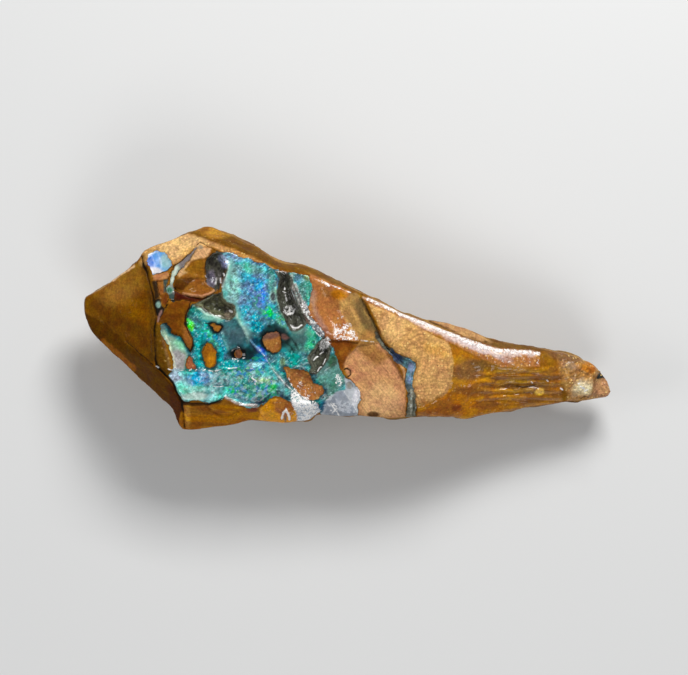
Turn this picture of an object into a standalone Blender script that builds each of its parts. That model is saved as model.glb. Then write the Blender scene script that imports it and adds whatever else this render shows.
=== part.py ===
"""Rough boulder opal: one broken piece of ironstone with precious opal grown into its upper face.

The stone lies on its back, opal face up. X runs along the stone, from the blunt west end to the thin
east tip, Y across it, and Z up from the flat it rests on. Every size below is in millimetres.

The form is built as a survey of a hill would be: the rim and the ridges of the upper side, and the rim
and the foot of the under side, are lines of (x, y, height) points, and a constrained Delaunay
triangulation stretches the broken facets between them. Flake scars and opal hollows are then struck out
of that block, its surface is roughened, and its foot is ground flat.
"""

import bmesh
import bpy
from mathutils import Euler, Vector, geometry

MM = 0.001

# Driving dimensions
FOOT_DEPTH = 0.45  # how much of the rough foot is broken away, which leaves the resting flat
WALL_HEIGHT = 2.2  # height of the broken side between the upper and the under facets
WALL_LEAN = 0.35  # how far the side leans inwards over that height
FORM_VOXEL = 0.28  # grain of the closed skin that the roughening works on
SOLID_TRIANGLES = 9900  # the finished solid's budget
LUMP_SIZE, LUMP_RELIEF = 3.6, 0.34  # broad unevenness of the broken faces
GRAIN_SIZE, GRAIN_RELIEF = 1.1, 0.16  # coarse grain of the ironstone
CHIP_SIZE, CHIP_RELIEF = 2.6, 1.15  # shelly chips of the sides and the under side
STEEP = 0.42  # a face whose normal rises less than this is a side or an under face
CHIPS_START, CHIPS_FULL = 0.5, 2.4  # how far below the rim the chips start, and are at their full depth

# The rim, clockwise from the west corner: (x, y, height of the upper facets' edge)
RIM = (
    (-30.0, 3.5, 6.6), (-28.0, 4.4, 7.9), (-26.9, 5.2, 8.6), (-25.0, 6.5, 9.7), (-23.5, 7.7, 10.4),
    (-23.0, 8.8, 10.2), (-21.6, 9.4, 10.4), (-20.0, 10.0, 10.5), (-17.5, 10.9, 10.1), (-16.3, 11.5, 9.3),
    (-15.6, 11.6, 8.9), (-14.5, 11.2, 8.8), (-12.0, 9.95, 8.8), (-9.5, 8.9, 9.0), (-8.0, 7.9, 9.6),
    (-6.8, 7.35, 10.0), (-5.0, 7.35, 9.8), (-3.5, 6.6, 9.9), (0.0, 4.9, 10.3), (3.0, 3.5, 10.3),
    (6.0, 2.0, 10.0), (8.5, 1.15, 9.4), (11.0, 0.75, 8.6), (13.0, 0.1, 8.2), (15.5, -0.85, 7.9),
    (18.0, -1.5, 7.7), (21.0, -2.1, 7.3), (24.0, -2.6, 6.9), (26.0, -3.2, 6.5), (27.8, -3.9, 5.9),
    (28.9, -4.8, 5.2), (29.5, -5.6, 3.9), (29.8, -6.2, 3.9), (30.0, -7.2, 4.1), (29.8, -7.7, 4.0),
    (27.5, -8.1, 4.2), (26.0, -8.2, 4.5), (23.0, -8.7, 5.1), (20.5, -9.0, 5.6), (18.6, -9.4, 5.9),
    (15.0, -9.95, 6.9), (13.5, -10.35, 7.1), (12.0, -10.1, 8.2), (7.7, -10.05, 9.7), (4.2, -10.1, 10.2),
    (1.3, -9.95, 10.5), (-1.5, -9.95, 10.3), (-3.6, -9.8, 10.2), (-4.3, -10.5, 9.5), (-7.0, -10.75, 8.8),
    (-9.0, -10.6, 8.8), (-11.0, -10.35, 9.0), (-12.5, -10.9, 8.4), (-15.0, -11.2, 8.0), (-18.0, -11.6, 7.7),
    (-18.8, -11.5, 7.5), (-19.3, -10.4, 7.9), (-19.7, -9.2, 8.3), (-22.0, -7.0, 8.5), (-25.0, -4.3, 8.0),
    (-27.5, -2.0, 7.7), (-29.2, -0.1, 6.9), (-29.9, 1.5, 6.5),
)

# Ridges, ledges and grooves of the upper side: (x, y, height) along each
RIDGES = {
    "west edge of the face": (
        (-22.6, 7.0, 11.4), (-21.9, 5.3, 12.2), (-21.6, 3.0, 12.7), (-21.6, 0.0, 12.8), (-21.6, -2.5, 12.7),
        (-21.5, -4.4, 12.4), (-20.3, -5.5, 12.2), (-19.4, -7.0, 11.7), (-18.6, -8.2, 11.2),
    ),
    "south-west arris": ((-21.5, -4.4, 12.4), (-23.2, -3.4, 11.3), (-24.9, -2.6, 10.0)),
    "south-west corner": ((-18.6, -8.2, 11.2), (-18.45, -9.6, 9.7)),
    "north edge of the opal": (
        (-15.0, 8.9, 12.3), (-13.0, 8.4, 12.4), (-10.8, 7.9, 12.5), (-8.6, 7.1, 12.5), (-7.0, 6.6, 12.4),
        (-4.0, 5.9, 12.4), (-2.0, 5.05, 12.4), (0.3, 4.2, 12.4), (1.5, 3.8, 12.2),
    ),
    "north-west crack": ((-21.9, 5.3, 12.2), (-20.3, 6.2, 12.3), (-19.2, 6.9, 12.2), (-17.0, 9.2, 11.8),
                         (-16.2, 9.2, 11.9), (-15.0, 8.9, 12.3)),
    "north shoulder": ((-17.4, 10.45, 10.9), (-15.6, 10.4, 10.8), (-14.0, 9.9, 10.9), (-12.0, 9.05, 11.2),
                       (-9.0, 8.05, 11.3)),
    "terrace edge": (
        (-19.6, -4.9, 12.5), (-17.5, -4.8, 12.85), (-14.0, -4.75, 12.9), (-12.0, -4.6, 12.85),
        (-9.0, -3.7, 12.85),
    ),
    "terrace foot": (
        (-16.0, -8.4, 11.15), (-14.9, -8.2, 11.3), (-14.0, -7.8, 11.6), (-12.6, -8.5, 11.4),
        (-11.0, -8.9, 11.2), (-9.9, -8.8, 11.1), (-8.9, -8.1, 11.5), (-7.8, -7.9, 11.6), (-6.6, -8.4, 11.5),
        (-5.6, -9.2, 11.2),
    ),
    "crystal line": (
        (-11.2, -0.6, 12.95), (-10.0, -2.2, 12.95), (-9.0, -3.7, 12.85), (-8.0, -4.9, 12.5),
        (-6.9, -6.3, 12.1), (-5.9, -7.7, 11.8), (-4.9, -8.9, 11.4),
    ),
    "ironstone ridge": (
        (-6.2, 5.2, 12.6), (-5.9, 3.6, 12.7), (-5.4, 2.2, 12.7), (-4.5, 0.8, 12.7), (-3.0, -0.75, 12.65),
        (-1.9, -1.8, 12.55), (-1.1, -3.2, 12.3), (-0.8, -4.4, 12.05), (-0.4, -5.6, 11.8),
    ),
    "column crest": ((0.4, 3.4, 12.6), (0.9, 1.8, 12.75), (1.6, 0.1, 12.7), (2.3, -1.5, 12.5)),
    "column foot": ((-0.9, 2.9, 12.0), (-0.5, 1.5, 11.8), (0.6, 0.0, 11.9), (1.2, -1.1, 12.2)),
    "split's floor": (
        (1.7, 3.2, 11.8), (2.25, 2.0, 11.6), (2.95, 0.2, 11.5), (3.5, -1.1, 11.5), (4.6, -2.3, 11.5),
        (5.9, -3.6, 11.4), (6.8, -4.4, 11.3), (6.9, -5.4, 11.2), (6.85, -6.5, 11.1), (7.0, -8.2, 10.6),
    ),
    "split's east lip": (
        (2.1, 3.1, 12.2), (2.6, 2.0, 12.25), (3.4, 0.2, 12.15), (4.1, -1.0, 12.1), (5.3, -2.2, 12.0),
        (6.6, -3.3, 11.85), (7.8, -4.0, 11.7), (7.8, -5.6, 11.55), (7.6, -7.0, 11.35), (7.8, -8.7, 10.9),
    ),
    "split's west lip": (
        (3.4, -2.0, 12.2), (4.6, -3.2, 11.95), (5.6, -4.4, 11.75), (6.2, -5.6, 11.55), (6.4, -7.0, 11.3),
        (6.5, -8.6, 10.9),
    ),
    "south arris of the block": ((-1.4, -1.7, 12.5), (0.0, -1.6, 12.5), (1.4, -1.65, 12.5)),
    "strip's foot": (
        (2.3, 2.8, 12.3), (4.0, 2.0, 12.2), (6.0, 1.15, 12.0), (8.0, 0.2, 11.8), (10.0, -0.75, 11.5),
        (12.0, -1.9, 11.1), (14.0, -2.8, 10.7), (15.5, -3.5, 10.3), (17.6, -4.3, 9.7), (20.0, -4.4, 9.2),
        (22.2, -4.4, 8.6),
    ),
    "strip's crest": (
        (2.0, 3.5, 12.05), (3.2, 3.05, 11.9), (5.0, 2.25, 11.75), (7.0, 1.4, 11.5), (8.5, 0.75, 11.3),
        (10.0, 0.12, 11.1), (12.0, -0.65, 10.6), (14.0, -1.45, 10.15), (16.0, -2.1, 9.6), (18.0, -2.4, 9.1),
        (20.0, -2.65, 8.6), (22.0, -2.95, 8.1),
    ),
    "back ledge": (
        (9.3, 0.75, 9.3), (11.0, 0.1, 8.9), (12.5, -0.4, 8.7), (14.0, -0.95, 8.4), (16.0, -1.55, 8.1),
    ),
    "east facet's edge": (
        (12.0, -1.9, 11.1), (12.1, -3.4, 11.0), (12.0, -5.0, 10.8), (11.6, -6.5, 10.6), (10.8, -7.7, 10.5),
        (9.3, -8.4, 10.6), (7.8, -8.7, 10.9),
    ),
    "upper flute": ((17.0, -5.5, 9.0), (19.0, -5.6, 8.6), (21.4, -5.4, 8.0)),
    "lower flute": ((16.8, -7.5, 7.8), (19.0, -7.3, 7.3), (21.5, -7.2, 6.9)),
    "flute between": ((16.8, -6.6, 8.1), (19.0, -6.5, 7.6), (21.2, -6.3, 7.3)),
    "tip's crest": ((23.6, -4.2, 8.1), (25.4, -4.1, 7.6), (26.8, -4.4, 7.2), (28.1, -5.0, 6.5)),
    "tip's break": ((28.1, -5.0, 6.5), (27.9, -6.0, 6.3), (27.8, -7.1, 6.0), (27.0, -7.6, 5.6)),
    "tip's ledge": ((28.5, -5.5, 4.3), (28.3, -6.2, 4.2), (28.2, -7.1, 4.4), (27.5, -7.8, 4.3)),
    "tip's face": ((24.4, -6.6, 6.6), (26.0, -6.2, 6.6)),
}

# Single high and low points of the upper side
SPOT_HEIGHTS = (
    (-26.6, 1.8, 9.2), (-19.6, 8.6, 11.3), (-18.6, 2.0, 12.7), (-17.0, -2.2, 12.75), (-12.2, 4.6, 13.0),
    (-9.0, 1.6, 12.9), (-4.6, -3.0, 12.5), (-2.6, 3.6, 12.1), (-2.0, -7.4, 11.5), (3.0, -6.0, 11.6),
    (3.6, -8.6, 11.0), (9.6, -4.4, 11.4), (14.4, -6.4, 9.7), (-13.6, -6.6, 12.0), (-14.4, -9.8, 9.7),
)

# The under side: a rim that the wall's lean and height give, a broken belly, and the foot it rests on
BELLY = (
    (-24.0, 2.6, 3.4), (-20.0, 6.6, 3.6), (-14.4, 8.0, 3.2), (-6.0, 5.2, 2.8), (2.0, 2.6, 2.8),
    (9.0, -0.8, 2.4), (17.0, -3.0, 2.0), (24.0, -4.4, 1.9), (24.0, -6.8, 1.7), (16.0, -8.0, 2.2),
    (8.0, -8.6, 2.8), (-2.0, -8.6, 2.9), (-12.0, -9.2, 2.6), (-18.0, -8.6, 3.0), (-21.6, -4.8, 3.3),
    (-25.6, -0.6, 3.6),
)
FOOT = (
    (-17.4, 3.2, -1.7), (-12.0, 4.6, -1.7), (-4.0, 2.4, -1.7), (4.6, -0.6, -1.7), (13.0, -3.8, -1.7),
    (14.2, -5.6, -1.7), (9.0, -6.6, -1.7), (0.0, -6.4, -1.7), (-10.0, -6.4, -1.7), (-16.2, -4.6, -1.7),
)
EAST_KEEL = (14.2, -5.6, -1.7), (19.0, -5.8, 0.2), (23.2, -5.8, 1.4)

# Struck or grown hollows: name, centre, half-sizes (long, across, deep), turn about Z, tilt about long axis
SCARS = (
    ("block_flake", (-1.9, 2.0, 14.6), (3.9, 2.1, 3.3), 112, 0),
    ("south_flake", (-4.6, -6.6, 14.3), (3.4, 2.1, 3.0), -55, 0),
    ("corner_flake", (-16.9, 6.1, 14.2), (2.5, 1.9, 2.2), 35, 0),
    ("north_hollow", (-14.75, 6.4, 13.2), (2.15, 1.0, 1.35), 96, 0),
    ("middle_hollow", (-14.5, 2.35, 13.3), (1.75, 0.8, 1.2), -24, 0),
    ("long_hollow", (-6.75, 3.0, 13.1), (3.5, 0.72, 1.3), 104, 0),
    ("east_hollow", (-3.05, -3.0, 12.9), (2.1, 0.72, 1.3), 62, 0),
    ("dark_pit", (-12.25, -2.95, 13.2), (0.85, 0.75, 1.0), 0, 0),
    ("west_flake", (-27.4, 2.2, 19.2), (8.0, 6.4, 9.6), 20, 0),
    ("south_bite", (-11.4, -12.6, 9.4), (3.2, 1.8, 2.6), 0, 0),
    ("foot_flake_north", (-2.0, 9.6, 0.0), (9.0, 4.6, 4.4), -20, 0),
    ("foot_flake_south", (6.0, -12.6, 1.4), (8.5, 3.8, 4.6), 4, 0),
    ("foot_flake_west", (-27.0, -8.4, 0.6), (7.0, 4.8, 4.6), -42, 0),
    ("tip_flake", (27.0, -1.4, 2.2), (5.6, 2.4, 3.2), -16, 0),
    ("side_flake_1", (-19.4, 12.3, 4.4), (4.2, 3.3, 3.4), 24, 12),
    ("side_flake_2", (-10.2, 11.4, 4.6), (4.6, 2.9, 3.3), -30, -10),
    ("side_flake_3", (-1.6, 8.0, 4.4), (4.2, 2.9, 3.9), -20, 12),
    ("side_flake_4", (6.6, 4.2, 4.6), (4.4, 2.7, 3.1), -16, -8),
    ("side_flake_5", (15.4, 1.3, 3.6), (5.2, 2.5, 2.9), -12, 0),
    ("side_flake_6", (-15.0, -13.4, 3.4), (4.2, 3.4, 3.3), -6, 0),
    ("side_flake_7", (-6.0, -12.8, 4.6), (4.0, 3.1, 3.5), 6, 10),
    ("side_flake_8", (2.6, -12.2, 5.2), (3.6, 2.9, 3.4), -4, -12),
    ("side_flake_9", (11.4, -12.2, 2.8), (4.8, 3.2, 3.0), 6, 0),
    ("side_flake_10", (20.4, -10.6, 1.7), (4.4, 2.6, 2.4), 6, 0),
    ("side_flake_11", (-26.6, -5.9, 4.3), (4.4, 2.9, 3.0), -46, 8),
    ("side_flake_12", (-27.2, 8.0, 4.5), (4.4, 2.9, 3.1), 36, -8),
)

IRONSTONE_COLOUR = (0.33, 0.16, 0.035, 1.0)
IRONSTONE_ROUGHNESS = 0.45


def clear_scene():
    """Removes what the startup scene holds."""
    for obj in list(bpy.data.objects):
        bpy.data.objects.remove(obj)


def collection(name, hidden=False):
    """A new collection in the scene."""
    made = bpy.data.collections.new(name)
    made.hide_render = hidden
    bpy.context.scene.collection.children.link(made)
    return made


def under_rim():
    """The rim of the under side: below the upper one, and leaning inwards towards the stone's middle line."""
    points = []
    for x, y, z in RIM:
        inwards = (Vector((0.82 * x, -2.0 - 0.2 * x)) - Vector((x, y))).normalized() * WALL_LEAN
        points.append((x + inwards.x, y + inwards.y, max(z * 0.72 - WALL_HEIGHT * 0.5, 2.0)))
    return points


def facets(outline, lines):
    """(points, triangles) of the broken surface that the outline bounds and the lines crease."""
    points, index_of, edges = [], {}, []
    for line in [list(outline) + [outline[0]], *lines]:
        indices = [index_of.setdefault(point, len(index_of)) for point in line]
        edges += list(zip(indices, indices[1:]))
    points = list(index_of)
    flat = [Vector(point[:2]) for point in points]
    found = geometry.delaunay_2d_cdt(flat, edges, [list(range(len(outline)))], 1, 1e-5)
    flat_out, _, triangles, sources = found[:4]
    heights = [points[source[0]][2] if source else None for source in sources]
    if None in heights:
        where = flat_out[heights.index(None)]
        raise ValueError(f"two lines cross at {where.x:.2f}, {where.y:.2f}")
    return [(co.x, co.y, z) for co, z in zip(flat_out, heights)], triangles


def block():
    """The closed block between the upper and the under facets."""
    upper = facets(RIM, [*RIDGES.values(), *((spot,) for spot in SPOT_HEIGHTS)])
    foot_ring = [*FOOT, FOOT[0]]
    belly_ring = [*BELLY, BELLY[0]]
    under = facets(under_rim(), [belly_ring, foot_ring, EAST_KEEL])
    shape = bmesh.new()
    for points, triangles in (upper, under):
        verts = [shape.verts.new(Vector(point) * MM) for point in points]
        for triangle in triangles:
            shape.faces.new([verts[i] for i in triangle])
    open_edges = [edge for edge in shape.edges if edge.is_boundary]
    bmesh.ops.bridge_loops(shape, edges=open_edges)
    bmesh.ops.triangulate(shape, faces=shape.faces)
    bmesh.ops.recalc_face_normals(shape, faces=shape.faces)
    mesh = bpy.data.meshes.new("boulder_opal")
    shape.to_mesh(mesh)
    shape.free()
    return mesh


def scar_cutter(name, centre, half_sizes, turn, tilt, cutters):
    """The ellipsoid whose dent a struck flake or a hollow leaves."""
    shape = bmesh.new()
    bmesh.ops.create_icosphere(shape, subdivisions=4, radius=1.0)
    bmesh.ops.scale(shape, vec=Vector(half_sizes) * MM, verts=shape.verts)
    mesh = bpy.data.meshes.new(name)
    shape.to_mesh(mesh)
    shape.free()
    cutter = bpy.data.objects.new(name, mesh)
    cutter.location = Vector(centre) * MM
    cutter.rotation_euler = Euler((tilt * 0.0174533, 0.0, turn * 0.0174533))
    cutter.display_type = "WIRE"
    cutter.hide_render = True
    cutters.objects.link(cutter)
    return cutter


def ground_cutter(cutters):
    """The slab that grinds the foot flat at height FOOT_DEPTH."""
    shape = bmesh.new()
    bmesh.ops.create_cube(shape, size=1.0)
    bmesh.ops.scale(shape, vec=Vector((90.0, 50.0, 10.0)) * MM, verts=shape.verts)
    bmesh.ops.translate(shape, vec=Vector((0.0, 0.0, FOOT_DEPTH + FOOT[0][2] - 5.0)) * MM, verts=shape.verts)
    mesh = bpy.data.meshes.new("ground")
    shape.to_mesh(mesh)
    shape.free()
    cutter = bpy.data.objects.new("ground", mesh)
    cutter.display_type = "WIRE"
    cutter.hide_render = True
    cutters.objects.link(cutter)
    return cutter


def cut(stone, cutter):
    """Takes the cutter's shape out of the stone."""
    boolean = stone.modifiers.new(cutter.name, "BOOLEAN")
    boolean.operation = "DIFFERENCE"
    boolean.object = cutter


def roughen(stone, name, pattern, size, relief, where=""):
    """Moves the surface in and out by a pattern of this size, all over or in one vertex group."""
    texture = bpy.data.textures.new(name, pattern)
    texture.noise_scale = size * MM
    displace = stone.modifiers.new(name, "DISPLACE")
    displace.texture = texture
    displace.texture_coords = "LOCAL"
    displace.strength = relief * MM
    displace.mid_level = 0.5
    displace.vertex_group = where


def applied(stone):
    """The stone's mesh with its modifiers worked in."""
    graph = bpy.context.evaluated_depsgraph_get()
    mesh = bpy.data.meshes.new_from_object(stone.evaluated_get(graph))
    stone.modifiers.clear()
    stone.data = mesh
    return mesh


def rim_height(place):
    """Height of the rim's nearest point, in metres."""
    x, y, z = place / MM
    return min(RIM, key=lambda point: (point[0] - x) ** 2 + (point[1] - y) ** 2)[2] * MM


def group_of_steep(stone):
    """A vertex group of the sides and the under side, fading in below the rim, which stays crisp."""
    group = stone.vertex_groups.new(name="steep")
    for vert in stone.data.vertices:
        turned = min((STEEP - vert.normal.z) / 0.35, 1.0)
        if turned <= 0:
            continue
        below = (rim_height(vert.co) - vert.co.z) / MM
        weight = turned * min((below - CHIPS_START) / (CHIPS_FULL - CHIPS_START), 1.0)
        if weight > 0:
            group.add([vert.index], weight, "REPLACE")
    return group.name


def centre_on_foot(mesh):
    """Sets the resting flat at height 0 and the middle of the outline over the origin."""
    xs, ys, zs = zip(*(vert.co for vert in mesh.vertices))
    offset = Vector((-(min(xs) + max(xs)) / 2, -(min(ys) + max(ys)) / 2, -min(zs)))
    for vert in mesh.vertices:
        vert.co += offset


def ironstone():
    """The stone's material."""
    material = bpy.data.materials.new("ironstone")
    material.use_nodes = True
    shader = material.node_tree.nodes["Principled BSDF"]
    shader.inputs["Base Color"].default_value = IRONSTONE_COLOUR
    shader.inputs["Roughness"].default_value = IRONSTONE_ROUGHNESS
    shader.inputs["Metallic"].default_value = 0.0
    return material


def boulder_opal():
    """The whole stone, one solid."""
    specimen = collection("rough_boulder_opal")
    cutters = collection("cutters", hidden=True)
    stone = bpy.data.objects.new("boulder_opal", block())
    specimen.objects.link(stone)
    for name, centre, half_sizes, turn, tilt in SCARS:
        cut(stone, scar_cutter(name, centre, half_sizes, turn, tilt, cutters))
    skin = stone.modifiers.new("skin", "REMESH")
    skin.mode = "VOXEL"
    skin.voxel_size = FORM_VOXEL * MM
    applied(stone)
    roughen(stone, "chips", "VORONOI", CHIP_SIZE, CHIP_RELIEF, group_of_steep(stone))
    roughen(stone, "lumps", "CLOUDS", LUMP_SIZE, LUMP_RELIEF)
    roughen(stone, "grain", "CLOUDS", GRAIN_SIZE, GRAIN_RELIEF)
    skin_mesh = applied(stone)
    skin_mesh.calc_loop_triangles()
    thin = stone.modifiers.new("thin", "DECIMATE")
    thin.ratio = SOLID_TRIANGLES / len(skin_mesh.loop_triangles)
    thin.use_collapse_triangulate = True
    cut(stone, ground_cutter(cutters))
    centre_on_foot(applied(stone))
    stone.data.materials.clear()
    stone.data.materials.append(ironstone())
    return stone


clear_scene()
boulder_opal()
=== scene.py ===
import logging
import math
from dataclasses import dataclass
from enum import Enum

import bpy
import numpy as np
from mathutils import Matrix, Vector


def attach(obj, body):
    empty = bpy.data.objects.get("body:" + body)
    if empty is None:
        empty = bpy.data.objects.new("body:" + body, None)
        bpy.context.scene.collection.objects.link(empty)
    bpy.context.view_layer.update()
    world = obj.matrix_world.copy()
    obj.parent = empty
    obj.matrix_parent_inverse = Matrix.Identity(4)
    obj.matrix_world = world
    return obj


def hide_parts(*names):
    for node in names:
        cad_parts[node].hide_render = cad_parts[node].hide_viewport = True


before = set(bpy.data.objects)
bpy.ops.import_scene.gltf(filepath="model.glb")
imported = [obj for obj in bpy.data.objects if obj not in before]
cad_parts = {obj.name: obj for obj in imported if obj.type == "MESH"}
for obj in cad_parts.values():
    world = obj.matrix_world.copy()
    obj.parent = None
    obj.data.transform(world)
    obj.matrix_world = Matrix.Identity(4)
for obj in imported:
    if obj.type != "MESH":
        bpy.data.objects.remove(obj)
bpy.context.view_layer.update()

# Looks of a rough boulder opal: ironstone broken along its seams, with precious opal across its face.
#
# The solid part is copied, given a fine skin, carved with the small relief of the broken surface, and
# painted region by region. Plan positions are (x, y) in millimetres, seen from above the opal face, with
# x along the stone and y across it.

LOG = logging.getLogger("boulder_opal")
MM = 0.001
Array = np.ndarray
Plan = tuple[tuple[float, float], ...]
Socket = bpy.types.NodeSocket
Value = Socket | float | tuple[float, ...]
Inputs = dict[str | int, Value]
Colour = tuple[float, float, float, float]


# ---------------------------------------------------------------------------------------------------
# Patterns that vary over the stone

# large odd numbers that scatter the cells' numbers
CELL_STEPS = (73856093, 19349663, 83492791)
SEED_STEP = 2654435761
MIX_STEP = 1274126177
HASH_RANGE = 0xFFFFFF
# moves the middle of every pattern off the middle of the stone
SHIFT = 100.0


def hashed(cells: Array, seed: int) -> Array:
    """A repeatable number from 0 to 1 for each whole-number cell.

    Args:
        cells: (n, 3) whole numbers.
        seed: which of many patterns.

    Returns:
        (n,) numbers.
    """
    x, y, z = (cells.astype(np.int64) * CELL_STEPS).T
    h = x ^ y ^ z ^ (seed * SEED_STEP)
    h = (h ^ (h >> 13)) * MIX_STEP
    return ((h ^ (h >> 16)) & HASH_RANGE) / float(HASH_RANGE)


def ease(value: Array) -> Array:
    """A soft step from 0 to 1."""
    t = np.clip(value, 0.0, 1.0)
    return t * t * (3 - 2 * t)


def cloud(points: Array, size: float, seed: int, octaves: int = 2) -> Array:
    """Soft uneven clouds.

    Args:
        points: (n, 3) positions in mm.
        size: breadth of the largest clouds in mm.
        seed: which of many patterns.
        octaves: how many finer layers there are, each half as strong as the one before.

    Returns:
        (n,) numbers from -1 to 1.
    """
    total, strength, weight = np.zeros(len(points)), 0.0, 1.0
    for octave in range(octaves):
        p = points / size * 2.0**octave + SHIFT
        cell = np.floor(p)
        t = ease(p - cell)
        value = np.zeros(len(points))
        for corner in range(8):
            step = np.array([corner & 1, corner >> 1 & 1, corner >> 2 & 1])
            share = np.prod(np.where(step, t, 1 - t), axis=1)
            value += share * hashed(cell + step, seed + octave)
        total += weight * (2 * value - 1)
        strength += weight
        weight *= 0.5
    return total / strength


def pebbles(points: Array, size: float, seed: int) -> tuple[Array, Array]:
    """Packed grains, as in broken sandstone.

    Args:
        points: (n, 3) positions in mm.
        size: breadth of a grain in mm.
        seed: which of many patterns.

    Returns:
        Distance to the nearest grain's middle and to the next nearest, both in grains.
    """
    p = points / size + SHIFT
    cell = np.floor(p)
    first, second = np.full((2, len(p)), np.inf)
    for step in np.ndindex(3, 3, 3):
        at = cell + step - 1.0
        middle = at + np.stack([hashed(at, seed + k) for k in range(3)], axis=1)
        d = np.linalg.norm(p - middle, axis=1)
        second = np.minimum(second, np.maximum(first, d))
        first = np.minimum(first, d)
    return first, second


# ---------------------------------------------------------------------------------------------------
# Regions of the opal face


def distance_to_line(xy: Array, points: Plan, closed: bool, reach: float) -> Array:
    """How far each position is from a line.

    Args:
        xy: (n, 2) plan positions in mm.
        points: the line's points.
        closed: whether its ends join.
        reach: beyond this the distance is not worked out, and it counts as reach.

    Returns:
        (n,) distances in mm.
    """
    line = np.array(points + points[:1] if closed else points, dtype=float)
    out = np.full(len(xy), reach)
    near = np.all((xy > line.min(0) - reach) & (xy < line.max(0) + reach), axis=1)
    p = xy[near]
    best = np.full(len(p), reach)
    for a, b in zip(line[:-1], line[1:]):
        ab = b - a
        t = np.clip(((p - a) @ ab) / max(float(ab @ ab), 1e-12), 0, 1)
        best = np.minimum(best, np.hypot(*(p - a - t[:, None] * ab).T))
    out[near] = best
    return out


@dataclass(frozen=True)
class Region:
    """A region of the face, by its outline."""

    points: Plan

    def depth(self, xy: Array, reach: float = 2.5) -> Array:
        """How far inside the outline each position is; outside counts below nought.

        Args:
            xy: (n, 2) plan positions in mm.
            reach: the most that is worked out.

        Returns:
            (n,) signed distances in mm.
        """
        line = np.array(self.points + self.points[:1], dtype=float)
        inside = np.zeros(len(xy), dtype=bool)
        for (x0, y0), (x1, y1) in zip(line[:-1], line[1:]):
            if y0 != y1:
                spans = (xy[:, 1] < y0) != (xy[:, 1] < y1)
                inside ^= spans & (xy[:, 0] < (x1 - x0) * (xy[:, 1] - y0) / (y1 - y0) + x0)
        away = distance_to_line(xy, self.points, True, reach)
        return np.where(inside, away, -away)


@dataclass(frozen=True)
class Spot:
    """An oval region: middle, half-sizes along and across, and turn in degrees."""

    middle: tuple[float, float]
    half: tuple[float, float]
    turn: float = 0.0

    def depth(self, xy: Array, reach: float = 2.5) -> Array:
        """How far inside the oval each position is; outside counts below nought.

        Args:
            xy: (n, 2) plan positions in mm.
            reach: the most that is worked out.

        Returns:
            (n,) signed distances in mm.
        """
        c, s = math.cos(math.radians(self.turn)), math.sin(math.radians(self.turn))
        x, y = (xy - np.array(self.middle)).T
        share = np.hypot((c * x + s * y) / self.half[0], (c * y - s * x) / self.half[1])
        return np.clip((1 - share) * min(self.half), -reach, reach)


@dataclass(frozen=True)
class Band:
    """A strip along a line: its points and half its breadth in mm."""

    points: Plan
    half: float

    def depth(self, xy: Array, reach: float = 2.5) -> Array:
        """How far inside the strip each position is; outside counts below nought."""
        return self.half - distance_to_line(xy, self.points, False, reach)


OPAL_FACE = Region((
    (-14.5, 8.6), (-13.0, 8.35), (-11.0, 7.8), (-9.3, 7.3), (-8.5, 6.7), (-7.0, 6.3), (-4.3, 5.9),
    (-4.1, 5.3), (-4.05, 4.3), (-4.1, 3.5), (-4.5, 2.6), (-4.25, 1.7), (-3.8, 1.0), (-3.2, 0.1), (-2.7, -0.6),
    (-2.6, -1.1), (-2.0, -1.7), (-1.5, -2.5), (-1.1, -3.3), (-0.9, -4.2), (-0.6, -5.0), (0.1, -5.6),
    (0.6, -5.9), (1.3, -6.9), (1.6, -8.0), (1.2, -8.8), (1.1, -10.8), (-3.4, -10.8), (-3.0, -9.2),
    (-3.2, -8.3), (-4.3, -8.5), (-6.2, -8.3), (-7.2, -7.9), (-8.0, -7.7), (-8.8, -7.9), (-9.4, -8.5),
    (-10.0, -8.8), (-11.0, -8.9), (-12.0, -8.6), (-12.9, -8.1), (-13.7, -7.6), (-14.1, -7.9), (-15.5, -8.4),
    (-16.5, -8.2), (-17.5, -8.15), (-18.5, -8.1), (-18.8, -7.7), (-19.1, -7.0), (-19.65, -6.0),
    (-20.05, -5.3), (-19.6, -4.6), (-19.5, -3.8), (-19.8, -2.8), (-20.1, -2.0), (-20.5, -1.1), (-20.9, -0.3),
    (-21.1, 0.4), (-20.3, 0.5), (-19.7, -0.5), (-18.8, -0.9), (-18.4, -1.5), (-17.6, -2.7), (-17.3, -2.0),
    (-17.3, -1.2), (-17.7, -0.6), (-18.2, 0.5), (-18.1, 1.3), (-17.7, 2.2), (-17.4, 2.7), (-16.6, 2.7),
    (-15.5, 3.1), (-14.6, 3.7), (-14.2, 4.2), (-14.2, 5.0), (-13.9, 5.8), (-13.6, 6.6), (-13.7, 7.3),
))
NORTH_HOLLOW = Region((
    (-14.6, 8.6), (-15.2, 8.3), (-15.7, 7.8), (-15.85, 6.9), (-15.9, 6.0), (-15.9, 5.2), (-15.4, 4.6),
    (-14.8, 4.2), (-14.3, 4.3), (-14.2, 5.0), (-13.9, 5.8), (-13.6, 6.6), (-13.7, 7.3), (-14.1, 8.2),
))
MIDDLE_HOLLOW = Region((
    (-17.1, 2.7), (-16.4, 2.95), (-15.6, 3.35), (-15.0, 3.8), (-14.2, 4.05), (-14.1, 3.4), (-13.7, 2.8),
    (-13.0, 2.65), (-12.75, 2.4), (-12.7, 1.9), (-12.75, 1.3), (-13.2, 1.0), (-13.9, 1.2), (-14.3, 1.5),
    (-15.3, 1.7), (-16.1, 2.2), (-16.4, 2.5),
))
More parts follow.
